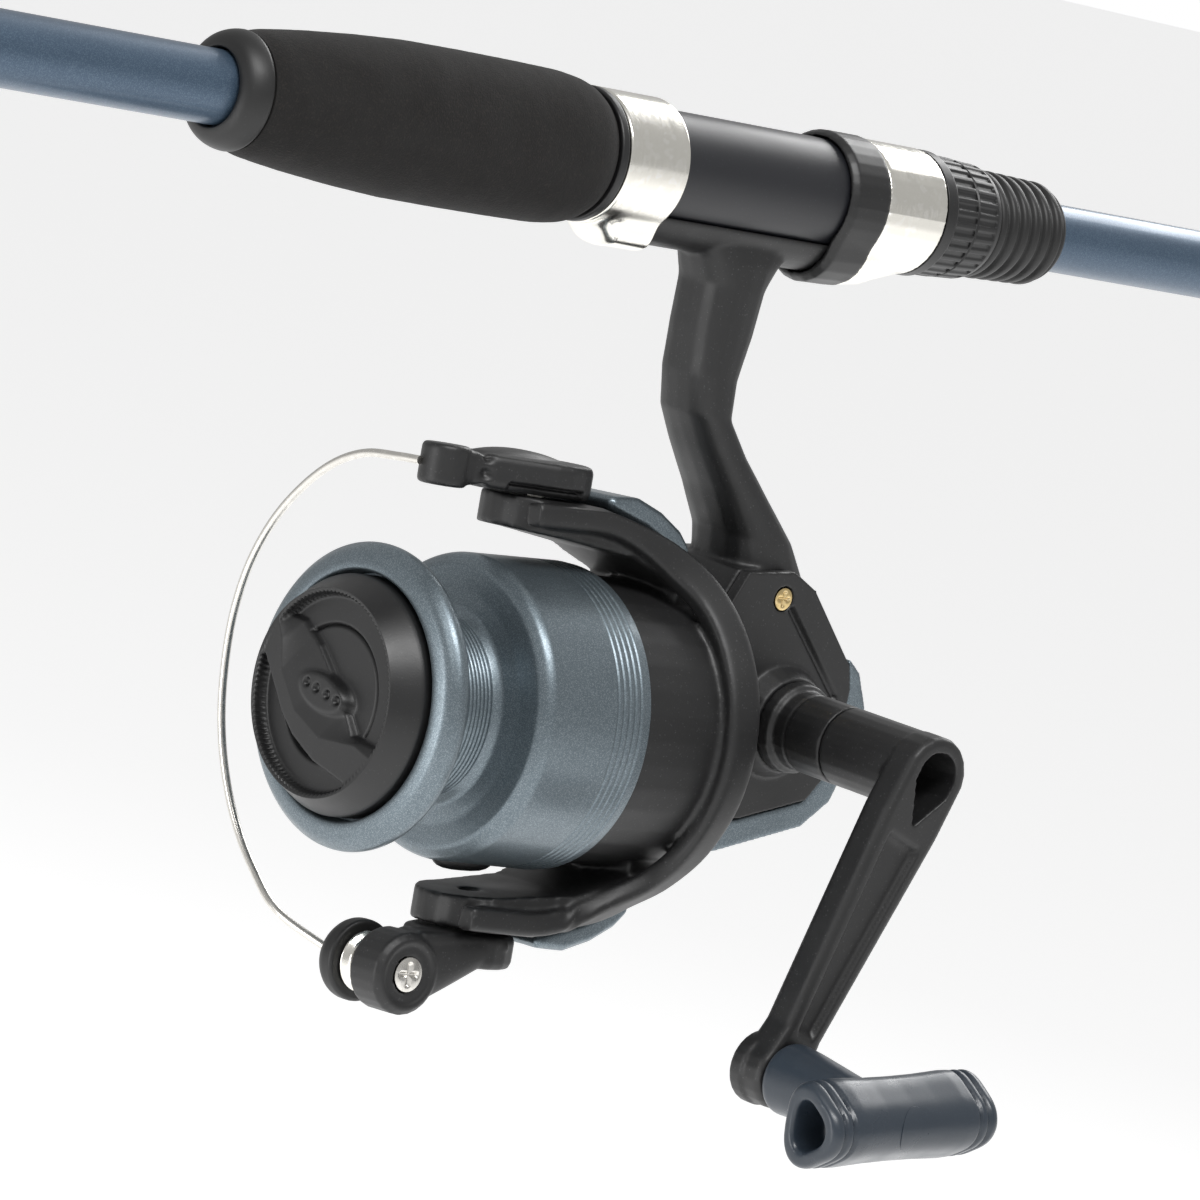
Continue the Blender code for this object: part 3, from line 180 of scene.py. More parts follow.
finishes = {
    "blue_blank": {
        "colour": (0.050, 0.083, 0.128), "fleck": (0.090, 0.135, 0.19), "share": 0.45, "fleckScale": 7500,
        "metallic": 0.55, "gloss": (0.34, 0.42), "stretch": (0.2, 1, 1), "rubScale": 260,
        "grain": (5200, 0.2, 0.012),
        "coat": 0.25,
    },
    "slate_metallic": {
        "colour": (0.118, 0.147, 0.166), "fleck": (0.222, 0.262, 0.286), "share": 0.5, "fleckScale": 7800,
        "metallic": 0.75, "gloss": (0.34, 0.42), "stretch": (1, 1, 1), "rubScale": 150,
        "grain": (4600, 0.2, 0.02),
        "coat": 0.15,
    },
    "graphite_plastic": {
        "colour": (0.0075, 0.0075, 0.0078), "fleck": (0.035, 0.035, 0.036), "share": 0.03, "fleckScale": 4600,
        "metallic": 0, "gloss": (0.42, 0.52), "stretch": (1, 1, 1), "rubScale": 120,
        "grain": (2600, 0.5, 0.03),
        "coat": 0,
    },
    "black_plastic": {
        "colour": (0.0065, 0.0065, 0.0068), "fleck": (0.022, 0.022, 0.023), "share": 0.02, "fleckScale": 5200,
        "metallic": 0, "gloss": (0.38, 0.46), "stretch": (1, 1, 1), "rubScale": 150,
        "grain": (3200, 0.4, 0.02),
        "coat": 0,
    },
    "black_tube": {
        "colour": (0.0085, 0.009, 0.0115), "fleck": (0.018, 0.019, 0.023), "share": 0.02, "fleckScale": 5200,
        "metallic": 0, "gloss": (0.36, 0.42), "stretch": (0.3, 1, 1), "rubScale": 200,
        "grain": (4200, 0.3, 0.012),
        "coat": 0,
    },
    "black_rubber": {
        "colour": (0.0065, 0.0065, 0.0065), "fleck": (0.014, 0.014, 0.014), "share": 0.02, "fleckScale": 4600,
        "metallic": 0, "gloss": (0.44, 0.52), "stretch": (1, 1, 1), "rubScale": 160,
        "grain": (3000, 0.6, 0.02),
        "coat": 0,
    },
    "foam": {
        "colour": (0.0026, 0.0020, 0.0017), "fleck": (0.0095, 0.0073, 0.006), "share": 0.25,
        "fleckScale": 3600,
        "metallic": 0, "gloss": (0.93, 1.0), "stretch": (1, 1, 1), "rubScale": 160,
        "grain": (3400, 0.3, 0.22),
        "coat": 0,
    },
    "polished_steel": {
        "colour": (0.80, 0.78, 0.72), "fleck": (0.86, 0.84, 0.79), "share": 0.3, "fleckScale": 900,
        "metallic": 1, "gloss": (0.16, 0.26), "stretch": (6, 0.6, 0.6), "rubScale": 320,
        "grain": (2600, 0.5, 0.006),
        "coat": 0,
    },
    "nickel_steel": {
        "colour": (0.66, 0.64, 0.60), "fleck": (0.74, 0.72, 0.68), "share": 0.3, "fleckScale": 1400,
        "metallic": 1, "gloss": (0.2, 0.32), "stretch": (1, 1, 1), "rubScale": 300,
        "grain": (2600, 0.5, 0.006),
        "coat": 0,
    },
    "brass": {
        "colour": (0.66, 0.50, 0.24), "fleck": (0.74, 0.58, 0.32), "share": 0.3, "fleckScale": 1400,
        "metallic": 1, "gloss": (0.2, 0.34), "stretch": (1, 1, 1), "rubScale": 500,
        "grain": (2600, 0.5, 0.008),
        "coat": 0,
    },
    "slate_plastic": {
        "colour": (0.022, 0.030, 0.041), "fleck": (0.027, 0.036, 0.048), "share": 0.1, "fleckScale": 4000,
        "metallic": 0, "gloss": (0.26, 0.36), "stretch": (1, 1, 1), "rubScale": 180,
        "grain": (2600, 0.5, 0.012),
        "coat": 0,
    },
}


def makeFinish(name, look):
    material = bpy.data.materials.new(name)
    material.use_nodes = True
    tree = material.node_tree
    shader = tree.nodes["Principled BSDF"]
    shader.inputs["Metallic"].default_value = look["metallic"]
    shader.inputs["Coat Weight"].default_value = look["coat"]
    shader.inputs["Coat Roughness"].default_value = 0.12
    if name == "foam":
        shader.inputs["Sheen Weight"].default_value = 0.015
        shader.inputs["Sheen Roughness"].default_value = 0.6
    spots = place(tree, "ShaderNodeGroup", node_tree=flecks)
    spots.inputs["Base"].default_value = (*look["colour"], 1)
    spots.inputs["Fleck"].default_value = (*look["fleck"], 1)
    spots.inputs["Share"].default_value = look["share"]
    spots.inputs["Scale"].default_value = look["fleckScale"]
    rub = place(tree, "ShaderNodeGroup", node_tree=rubbing)
    rub.inputs["Scale"].default_value = look["rubScale"]
    rub.inputs["Stretch"].default_value = look["stretch"]
    rub.inputs["Low"].default_value, rub.inputs["High"].default_value = look["gloss"]
    relief = place(tree, "ShaderNodeGroup", node_tree=grain)
    relief.inputs["Scale"].default_value, relief.inputs["Coarse"].default_value, depth = look["grain"]
    bump = place(tree, "ShaderNodeBump")
    bump.inputs["Strength"].default_value = 0.6
    bump.inputs["Distance"].default_value = depth * mm
    wire(tree, (spots.outputs["Color"], shader.inputs["Base Color"]),
         (rub.outputs["Roughness"], shader.inputs["Roughness"]),
         (relief.outputs["Height"], bump.inputs["Height"]), (bump.outputs["Normal"], shader.inputs["Normal"]))
    return material


materials = {name: makeFinish(name, look) for name, look in finishes.items()}
slotOf = {row["node"]: row["material_slot"] for row in frame["record"]["subparts"]}
bodyOf = {node: body for body, nodes in frame["record"]["behaviour"]["bodies"].items() for node in nodes}
for name, node in frame["nodes"].items():
    node.data.materials.clear()
    node.data.materials.append(materials[slotOf[name]])
print("finishes made")


# shapes worked out as arrays, in millimetres

def gridFaces(rows, columns, closedRows):
    # quads between neighbouring rows and columns, with the columns wrapped round
    i = np.arange(rows if closedRows else rows - 1)[:, None]
    j = np.arange(columns)[None, :]
    below, beside = (i + 1) % rows, (j + 1) % columns
    corners = (i * columns + j, i * columns + beside, below * columns + beside, below * columns + j)
    return np.stack(np.broadcast_arrays(*corners), -1).reshape(-1, 4)


def gridMesh(points, closedRows=False):
    # points is rows x columns x 3; an open grid is capped by one face at each end
    rows, columns = points.shape[:2]
    faces = gridFaces(rows, columns, closedRows).tolist()
    if not closedRows:
        faces += [list(range(columns))[::-1], list(range((rows - 1) * columns, rows * columns))]
    bm = bmesh.new()
    mesh = bpy.data.meshes.new("grid")
    mesh.from_pydata((points.reshape(-1, 3) * mm).tolist(), [], faces)
    bm.from_mesh(mesh)
    bmesh.ops.remove_doubles(bm, verts=bm.verts, dist=1e-6)
    bmesh.ops.recalc_face_normals(bm, faces=bm.faces)
    if bm.calc_volume(signed=True) < 0:
        bmesh.ops.reverse_faces(bm, faces=bm.faces)
    bm.to_mesh(mesh)
    bm.free()
    return mesh


def axesOf(along):
    # two directions at right angles to a line, and the line's own
    line = np.array(along, float) / np.linalg.norm(along)
    side = np.cross(line, (0, 0, 1) if abs(line[2]) < 0.9 else (0, 1, 0))
    side /= np.linalg.norm(side)
    return side, np.cross(line, side), line


def ringPoints(profile, centre, along, sides, shape=None):
    # distance along a line and radius round it, turned through a circle; shape scales the radius by angle
    side, other, line = axesOf(along)
    angle = np.linspace(0, 2 * np.pi, sides, endpoint=False)
    distance, radius = np.array(profile, float).T
    radius = radius[:, None] * (np.ones(sides) if shape is None else shape(distance[:, None], angle[None, :]))
    spread = np.cos(angle)[None, :, None] * side + np.sin(angle)[None, :, None] * other
    return np.array(centre, float) + distance[:, None, None] * line + radius[:, :, None] * spread


def fillet(profile, radius, steps=4):
    # each corner gives way to a quadratic curve that starts and ends one radius from it
    points = np.array(profile, float)
    onAxis = points[0, 1] == 0 and points[-1, 1] == 0
    t = np.linspace(0, 1, steps + 1)[:, None]
    rows = []
    for i, here in enumerate(points):
        if onAxis and i in (0, len(points) - 1):
            rows.append(here[None])
            continue
        before, after = points[i - 1] - here, points[(i + 1) % len(points)] - here
        start = here + before * min(radius / max(np.linalg.norm(before), 1e-9), 0.48)
        end = here + after * min(radius / max(np.linalg.norm(after), 1e-9), 0.48)
        rows.append((1 - t) ** 2 * start + 2 * t * (1 - t) * here + t ** 2 * end)
    return np.concatenate(rows)


def turnAbout(points, angle):
    # a turn about the reel's axis
    c, s = math.cos(angle), math.sin(angle)
    y, z = points[..., 1], points[..., 2] - reelZ
    return np.stack([points[..., 0], y * c - z * s, y * s + z * c + reelZ], -1)


def splinePoints(places, count):
    # a Catmull-Rom curve through the places, read at even steps of its parameter
    p = np.array(places, float)
    p = np.concatenate([2 * p[:1] - p[1:2], p, 2 * p[-1:] - p[-2:-1]])
    at = np.linspace(0, len(p) - 3 - 1e-6, count)
    i = at.astype(int)
    t = (at - i)[:, None]
    a, b, c, d = p[i], p[i + 1], p[i + 2], p[i + 3]
    square, cube = 2 * a - 5 * b + 4 * c - d, 3 * b - a - 3 * c + d
    return 0.5 * (2 * b + (c - a) * t + square * t ** 2 + cube * t ** 3)


def sweep(path, halfWide, halfHigh, wideAxis, sides=20, power=1.0):
    # a superellipse carried along a path; its wide side keeps to wideAxis as nearly as it can
    ahead = np.gradient(path, axis=0)
    ahead /= np.linalg.norm(ahead, axis=1, keepdims=True)
    wide = np.broadcast_to(np.array(wideAxis, float), path.shape)
    wide = wide - (wide * ahead).sum(1, keepdims=True) * ahead
    wide = wide / np.linalg.norm(wide, axis=1, keepdims=True)
    high = np.cross(ahead, wide)
    angle = np.linspace(0, 2 * np.pi, sides, endpoint=False)
    c = np.sign(np.cos(angle)) * abs(np.cos(angle)) ** power
    s = np.sign(np.sin(angle)) * abs(np.sin(angle)) ** power
    a = np.broadcast_to(halfWide, len(path))[:, None, None]
    b = np.broadcast_to(halfHigh, len(path))[:, None, None]
    return path[:, None] + a * c[None, :, None] * wide[:, None] + b * s[None, :, None] * high[:, None]


def addPiece(name, mesh, nodes, smoothAngle=38):
    # a piece stands for its CAD nodes, rides on their body and takes their finish
    mesh.name = name
    slot = slotOf[nodes[0]]
    mesh.materials.clear()
    mesh.materials.append(materials[slot])
    mesh.shade_smooth()
    mesh.set_sharp_from_angle(angle=math.radians(smoothAngle))
    piece = bpy.data.objects.new(name, mesh)
    scene.collection.objects.link(piece)
    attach(piece, bodyOf[nodes[0]])
    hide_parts(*nodes)
    return piece


def weighted(piece):
    modifier = piece.modifiers.new("Even shading", "WEIGHTED_NORMAL")
    modifier.keep_sharp = True
    return piece


def turnedPiece(name, profile, centre, along, sides=96, radius=0.3, shape=None, steps=4):
    # a filleted profile turned round a line
    rows = fillet(profile, radius, steps) if radius else np.array(profile, float)
    closedRows = not (rows[0, 1] == 0 and rows[-1, 1] == 0)
    mesh = gridMesh(ringPoints(rows, centre, along, sides, shape), closedRows)
    return weighted(addPiece(name + "_shape", mesh, [name]))


def skinned(name, node, mesh, voxel, rounds, carve=None, turned=0.0):
    # one skin of small squares over a mesh of overlapping solids, smoothed, and then moved along its normals
    carrier = bpy.data.objects.new(name, mesh)
    scene.collection.objects.link(carrier)
    remesh = carrier.modifiers.new("Skin", "REMESH")
    remesh.mode = "VOXEL"
    remesh.voxel_size = voxel * mm
    ease = carrier.modifiers.new("Ease", "SMOOTH")
    ease.factor = 0.5
    ease.iterations = rounds
    graph = bpy.context.evaluated_depsgraph_get()
    skin = bpy.data.meshes.new_from_object(carrier.evaluated_get(graph))
    bpy.data.objects.remove(carrier)
    if carve:
        points = np.empty(len(skin.vertices) * 3)
        skin.vertices.foreach_get("co", points)
        points = points.reshape(-1, 3) / mm
        normals = np.empty(len(skin.vertices) * 3, np.float32)
        skin.vertex_normals.foreach_get("vector", normals)
        normals = normals.reshape(-1, 3)
        aimed = turnAbout(normals + (0, 0, reelZ), -turned) - (0, 0, reelZ)
        moved = points + carve(turnAbout(points, -turned), aimed)[:, None] * normals
        skin.vertices.foreach_set("co", (moved * mm).ravel())
    return addPiece(name, skin, [node], smoothAngle=70)


def softened(node, voxel, rounds, extras=(), carve=None, turned=0.0):
    # the node's own solid with any extra solids, taken as one skin
    bm = bmesh.new()
    bm.from_mesh(frame["nodes"][node].data)
    bmesh.ops.remove_doubles(bm, verts=bm.verts, dist=1e-6)
    for extra in extras:
        bm.from_mesh(extra)
    mesh = bpy.data.meshes.new(node)
    bm.to_mesh(mesh)
    bm.free()
    return skinned(node + "_shape", node, mesh, voxel, rounds, carve, turned)


def bump(value, width):
    # one inside the width and zero outside it, with a soft step
    return 1 / (1 + np.exp(np.clip((abs(value) - width) * 9, -40, 40)))


def fromSegment(u, v, start, end):
    # distance from a segment in a plane
    a, b = np.array(start, float), np.array(end, float)
    along = b - a
    t = np.clip(((u - a[0]) * along[0] + (v - a[1]) * along[1]) / (along @ along), 0, 1)
    return np.hypot(u - a[0] - t * along[0], v - a[1] - t * along[1])


# rod, check, grip and rings

rodSet = {"radius": 6.2, "wall": 0.9, "front": -185, "back": 316, "gap": 0.3}
rodLine = (1, 0, 0)
origin = (0, 0, 0)
bore = rodSet["radius"] - rodSet["wall"]
blank = [(rodSet[end], r) for end, r in (("front", bore), ("front", rodSet["radius"]),
                                         ("back", rodSet["radius"]), ("back", bore))]
turnedPiece("handle_blank", blank, origin, rodLine, 128, 0.15)
sectionSet = {"count": 4, "pitch": 14.5, "wall": 0.85, "back": 298.0}
outer = bore - rodSet["gap"]
last = 1 + sectionSet["count"]
for number in range(2, last + 1):
    front = rodSet["front"] - sectionSet["pitch"] * (number - 1)
    inner = outer - sectionSet["wall"]
    inside = inner if number < last else 0  # the tip section is solid
    profile = [(front, inside), (front, outer), (sectionSet["back"], outer), (sectionSet["back"], inside)]
    turnedPiece(f"rod_section_{number}", profile, origin, rodLine, 72, 0.12)
    outer = inner - rodSet["gap"]
    softened(f"guide_{number}", 0.22, 3)
turnedPiece("front_collar", [(-185, 6.5), (-185, 7.6), (-173, 7.6), (-171, 6.9), (-171, 6.5)], origin,
            rodLine)
turnedPiece("butt_collar", [(290, 6.5), (290, 7.4), (293, 8.5), (316, 8.5), (316, 6.5)], origin, rodLine)
turnedPiece("butt_cap", [(304, 0), (304, 5.0), (316.3, 5.0), (316.3, 8.9), (331.3, 8.9), (335.3, 7.3),
                         (336.3, 4.9), (336.3, 0)],
            origin, rodLine, radius=1.2)
turnedPiece("winding_check", [(-118.8, 6.5), (-118.8, 7.3), (-118.2, 8.6), (-117.0, 9.5), (-115.4, 10.0),
                              (-113.7, 10.1),
                              (-113.7, 6.5)], origin, rodLine, radius=0.8)

gripSet = {
    "front": -113.4, "back": -38.4, "bore": 6.5,
    "swell": [(0.0, 9.7), (0.03, 10.5), (0.09, 11.1), (0.16, 11.7), (0.3, 12.6), (0.44, 13.2), (0.6, 13.3),
              (0.76, 13.25), (0.89, 13.1), (0.95, 12.6), (0.985, 11.8), (1.0, 10.7)],
    "ripple": 0.012,
}


def makeForegrip(look):
    # radius read from the swell along the grip, with a small even ripple of the sanded foam
    share = np.linspace(0, 1, 150)
    at, wide = np.array(look["swell"]).T
    kernel = np.hanning(9)
    radius = np.interp(share, at, wide)
    padded = np.concatenate([np.full(4, radius[0]), radius, np.full(4, radius[-1])])
    radius = np.convolve(padded, kernel / kernel.sum(), "valid")
    distance = look["front"] + share * (look["back"] - look["front"])
    rows = np.stack([distance, radius], 1)
    ends = [[(look["front"], look["bore"])], rows, [(look["back"], look["bore"])]]
    shape = lambda d, a: 1 - look["ripple"] / 12 * (1 + np.sin(7 * a + d * 0.9) * np.sin(d * 2.3))
    mesh = gridMesh(ringPoints(np.concatenate(ends), origin, rodLine, 144, shape), True)
    piece = addPiece("foregrip_shape", mesh, ["foregrip"])
    return piece


makeForegrip(gripSet)
turnedPiece("grip_ring", [(-38.1, 6.5), (-38.1, 11.7), (-36.3, 11.7), (-36.3, 6.5)], origin, rodLine,
            radius=0.5)
print("rod and grip made")


# reel seat

turnedPiece("seat_tube", [(-36, 6.5), (-36, 10.1), (30, 10.1), (30, 9.0), (57, 9.0), (57, 6.5)], origin,
            rodLine, 128, 0.2)

hoodSet = {"front": -36.0, "back": -22.0, "outer": 11.7, "inner": 10.4, "rise": 3.3, "from": -34.6,
           "to": -29.6, "half": 0.50}


def makeFixedHood(look):
    # a thin ring whose underside swells into a pocket round the foot, the swelling growing along the ring
    sides = 256
    angle = np.linspace(0, 2 * np.pi, sides, endpoint=False)[None, :]
    side, other, line = axesOf(rodLine)
    spread = np.cos(angle)[..., None] * side + np.sin(angle)[..., None] * other
    away = np.arccos(np.clip(-spread[..., 2], -1, 1))
    lobe = 1 / (1 + np.exp(np.clip((away - look["half"]) * 16, -40, 40)))
    x = np.linspace(look["front"], look["back"], 90)[:, None]
    share = np.clip((x - look["from"]) / (look["to"] - look["from"]), 0, 1)
    swell = look["rise"] * lobe * share * share * (3 - 2 * share)
    edge = np.clip(np.minimum(x - look["front"], look["back"] - x) / 0.5, 0, 1)
    rolled = 0.35 * (1 - np.sqrt(1 - (1 - edge) ** 2))
    outside = look["outer"] - rolled + swell
    inside = look["inner"] + rolled + swell
    radius = np.concatenate([outside, inside[::-1]])
    along = np.concatenate([x, x[::-1]])
    points = along[..., None] * line + radius[..., None] * spread
    addPiece("fixed_hood_shape", gridMesh(points, True), ["fixed_hood"], smoothAngle=60)


makeFixedHood(hoodSet)
softened("sliding_hood", 0.3, 4)
softened("hood_collar", 0.3, 3)

nutSet = {"teeth": 30, "depth": 0.03, "start": 45.0, "step": 50.5, "end": 55.5}


def nutRibs(distance, angle):
    # flat ribs along the nut, in two bands with a plain ring between them
    wave = 1 / (1 + np.exp(-8 * np.cos(nutSet["teeth"] * angle)))
    inBand = (distance > nutSet["start"]) & (distance < nutSet["end"])
    inBand = inBand & (abs(distance - nutSet["step"]) > 0.35)
    return 1 - nutSet["depth"] * np.where(inBand, 1 - wave, 0)


def makeNut():
    outside = fillet([(42.1, 9.3), (42.1, 11.3), (44.4, 11.35), (44.9, 10.9), (50.2, 10.8), (50.5, 10.4),
                      (50.8, 10.7), (56, 10.45),
                      (57, 10.1), (57, 9.3)], 0.2)
    distance = np.unique(np.concatenate([outside[:, 0], np.linspace(42.1, 57, 70)]))
    top = outside[outside[:, 1] > 10]
    radius = np.interp(distance, top[:, 0], top[:, 1])
    rows = np.concatenate([[(42.1, 9.3)], np.stack([distance, radius], 1), [(57, 9.3)]])
    mesh = gridMesh(ringPoints(rows, origin, rodLine, 360, nutRibs), True)
    addPiece("locking_nut_shape", mesh, ["locking_nut"], smoothAngle=50)


makeNut()
ridges = [(57.3, 6.8)]
for i in range(6):
    at, crest = 57.3 + i * 2.92, 9.9 - 0.08 * i
    ridges += [(at, crest - 1.0), (at + 0.55, crest - 0.1), (at + 1.5, crest), (at + 2.0, crest - 0.3),
               (at + 2.5, crest - 1.0)]
ridges += [(74.9, 8.9), (76, 8.2), (76, 6.8)]
turnedPiece("nut_grip", ridges, origin, rodLine, radius=0.35)
print("seat made")


# reel body and covers

coverSet = {"groove": [((25.0, 25.2), (40.2, 10.6), 0.55, 0.9)]}


def carveSide(points, normals):
    # grooves on the near face, along lines drawn in the plane of X and height above the reel's axis
    x, up = points[:, 0], points[:, 2] - reelZ
    near = np.clip(-normals[:, 1], 0, 1)
    depth = np.zeros(len(points))
    for start, end, width, deep in coverSet["groove"]:
        depth -= deep * bump(fromSegment(x, up, start, end), width)
    return depth * near


softened("reel_body", 0.5, 5)
softened("side_cover", 0.3, 4, carve=carveSide)
softened("rear_cover", 0.4, 4)
softened("anti_reverse_lever", 0.25, 3)


def screwHead(name, node, centre, along, radius, height, slotWidth, sides=72):
    # a domed disc read on rings and sectors, with a cross sunk into it
    rows = np.linspace(0, 1, 26)
    angle = np.linspace(0, 2 * np.pi, sides, endpoint=False)
    r = (radius * rows)[:, None] * np.ones(sides)
    dome = height * (1 - 0.35 * (rows[:, None] ** 3)) * np.ones(sides)
    across, down = r * np.cos(angle), r * np.sin(angle)
    arm = radius * 0.66
    cross = np.maximum(bump(across, slotWidth) * bump(down, arm), bump(down, slotWidth) * bump(across, arm))
    dome -= 0.7 * height * cross
    side, other, line = axesOf(along)
    top = np.array(centre) + across[..., None] * side + down[..., None] * other + dome[..., None] * line
    foot = top[-1:] - (dome[-1:, :, None] + 0.5) * line
    mesh = gridMesh(np.concatenate([top, foot]))
    return addPiece(name, mesh, [node], smoothAngle=50)


for number, (x, up) in enumerate([(22.5, 27.0), (13.0, -11.0)], 1):
    screwHead(f"cover_screw_head_{number}", f"cover_screw_{number}", (x, -11.5, up + reelZ), (0, -1, 0),
              2.0, 0.65, 0.28)
print("reel body made")


# rotor, bail and roller

rotorSet = {
    "ribbon": [(-36.5, -10.4, 35.0), (-28, -10.5, 35.2), (-19, -10.6, 35.0), (-10, -10.9, 32.6),
               (-3, -12.2, 29.2),
               (2.2, -15.2, 25.0), (4.6, -19.6, 19.2), (5.3, -23.8, 11.6), (5.5, -25.8, 4.0)],
    "halfWide": (2.1, 3.5), "halfHigh": 2.0,
}


def ribbonMesh(look):
    # the band follows one arm, rounds the drum's back on the near side and comes out along the other arm
    upper = [(x, y, z) for x, y, z in look["ribbon"]]
    lower = [(x, y, -z) for x, y, z in reversed(upper)]
    path = splinePoints(upper + lower, 160)
    path[:, 2] += reelZ
    share = np.clip((0.75 - abs(np.linspace(-1, 1, 160))) / 0.3, 0, 1)
    narrow, wide = look["halfWide"]
    halfWide = narrow + (wide - narrow) * share * share * (3 - 2 * share)
    return gridMesh(turnAbout(sweep(path, halfWide, look["halfHigh"], (1, 0, 0.3), 28, 0.45), rotorRest))


softened("rotor", 0.5, 4, extras=[ribbonMesh(rotorSet)])
for side in ("top", "bottom"):
    softened(f"arm_cover_{side}", 0.3, 4)

bailSet = {"nose": (-49.2, 0.0), "noseRadius": 4.3, "base": 37.4, "top": 44.6, "waist": (-43.2, 1.0),
           "recess": (-31.5, 7.2),
           "body": (-46.5, -19.5), "bodyHigh": 3.7}


def noseMesh(look):
    # an upright rounded post at the front of the upper bail arm
    x, y = look["nose"]
    r = look["noseRadius"]
    rows = fillet([(look["base"], 0), (look["base"], r), (look["top"], r), (look["top"], 0)], 1.0)
    return gridMesh(turnAbout(ringPoints(rows, (x, y, reelZ), (0, 0, 1), 40), rotorRest))


def bodyMesh(look):
    # a domed body behind the post, fullest in the middle of its length
    share = np.linspace(0, 1, 40)
    x = look["body"][0] + share * (look["body"][1] - look["body"][0])
    full = np.sin(np.pi * (0.12 + 0.76 * share)) ** 0.5
    path = np.stack([x, 0 * x, reelZ + 37.9 + look["bodyHigh"] * full], 1)
    return gridMesh(turnAbout(sweep(path, 5.4 * full, look["bodyHigh"] * full, (0, 1, 0), 40, 0.7),
                              rotorRest))


def carveBail(points, normals):
    # a notched waist behind the post and a shallow undercut low on the near side
    x, y, up = points[:, 0], points[:, 1], points[:, 2] - reelZ
    at, wide = bailSet["waist"]
    depth = -0.9 * np.exp(-((x - at) / wide) ** 2) * (0.55 + 0.45 * np.cos((up - 40.5) * 2.2))
    at, wide = bailSet["recess"]
    near = np.clip(-normals[:, 1], 0, 1)
    depth -= 1.6 * bump(x - at, wide) * bump(up - 38.6, 1.0) * near
    return depth


def dropMesh():
    # the lower arm's cheek: a rounded section that shrinks from the roller's hub to a tip along the arm
    share = np.linspace(0, 1, 40)
    half = 7.0 - 5.9 * share ** 1.1
    x = -46.0 + 22.0 * share
    up = -38.5 - half - 0.1 * share
    path = np.stack([x, -5.2 - 1.6 * share, reelZ + up], 1)
    return gridMesh(turnAbout(sweep(path, 3.9 - 1.6 * share, half, (0, 1, 0), 40, 0.7), rotorRest))


def carveDrop(points, normals):
    # a broad dish round the roller's screw, with a soft step at its edge, on the near side only
    x, y, z = points.T
    away = np.hypot(x + 46.0, z - reelZ + 45.6)
    near = np.clip(-normals[:, 1], 0, 1)
    return -0.35 * bump(away, 5.2) * near * (y < -6)


softened("bail_arm", 0.28, 5, extras=[noseMesh(bailSet), bodyMesh(bailSet)], carve=carveBail,
         turned=rotorRest)
softened("roller_arm", 0.28, 5, extras=[dropMesh()], carve=carveDrop, turned=rotorRest)

rollerAxis = np.array((0, math.cos(rotorRest), math.sin(rotorRest)))
rollerCentre = turnAbout(np.array((-46.0, 3.5, reelZ - 45.6)), rotorRest)
turnedPiece("line_roller", [(-4.7, 1.8), (-4.7, 5.4), (-3.9, 5.4), (-2.9, 4.3), (-1.9, 4.3), (-1.0, 5.4),
                            (-0.6, 5.4), (-0.6, 1.8)],
            rollerCentre, rollerAxis, 96, 0.35)
turnedPiece("roller_cap", [(-0.3, 1.8), (-0.3, 7.2), (2.4, 7.2), (4.2, 6.0), (5.4, 3.4), (5.4, 0),
                           (2.9, 0), (2.9, 1.8)],
            rollerCentre, rollerAxis, 96, 0.8)
screwHead("roller_screw_head", "roller_screw", rollerCentre - 12.0 * rollerAxis, -rollerAxis, 3.0, 0.85, 0.36)

bailWireSet = {
    "radius": 0.75,
    "places": [(-53.9, 1.0, 41.1), (-54.6, 6, 41.0), (-54.9, 14, 40.4), (-54.6, 22, 37.6),
               (-54.3, 29.4, 32.6), (-54.2, 35.8, 25.8),
               (-54.1, 40.4, 17.6), (-53.6, 43.2, 8.4), (-53.0, 44.0, -1.0), (-52.4, 43.2, -10.6),
               (-51.9, 40.4, -19.6), (-51.5, 35.8, -27.8), (-51.3, 29.2, -35.0), (-50.9, 21.4, -40.8),
               (-47.0, 9.5, -45.6)],
}


def makeBailWire(look):
    # a round section carried along a smooth curve through the places
    path = splinePoints(look["places"], 220)
    path[:, 2] += reelZ
    mesh = gridMesh(turnAbout(sweep(path, look["radius"], look["radius"], (1, 0, 0), 16), rotorRest))
    addPiece("bail_wire_shape", mesh, ["bail_wire"], smoothAngle=60)


makeBailWire(bailWireSet)
print("rotor and bail made")


# spool and drag knob

reelLine = (1, 0, 0)
reelCentre = (0, 0, reelZ)
spoolSet = {
    "front": [(-62.3, 21.3), (-62.6, 22.4), (-61.9, 24.8), (-60, 26.5), (-58.2, 26.3), (-56.6, 24.6),
              (-55.2, 20.5), (-54.2, 17.2),
              (-53.0, 16.4)],
    "rear": [(-43.6, 16.4), (-42.4, 17.4), (-41.4, 20.5), (-41.0, 24.6), (-39.8, 26.1), (-38.6, 26.6)],
    "back": [(-16.5, 26.8), (-16.5, 25.9), (-37.2, 25.6), (-38.8, 24.2), (-39.4, 14.6), (-52, 14.4),
             (-52, 5.0), (-36, 5.0),
             (-36, 2.05), (-55, 2.05), (-55, 15.0), (-58.0, 15.0), (-58.0, 21.3)],
    "arborLines": (0.16, 0.85), "skirtLines": [-24.2, -22.9, -21.6, -20.3, -19.0],
}


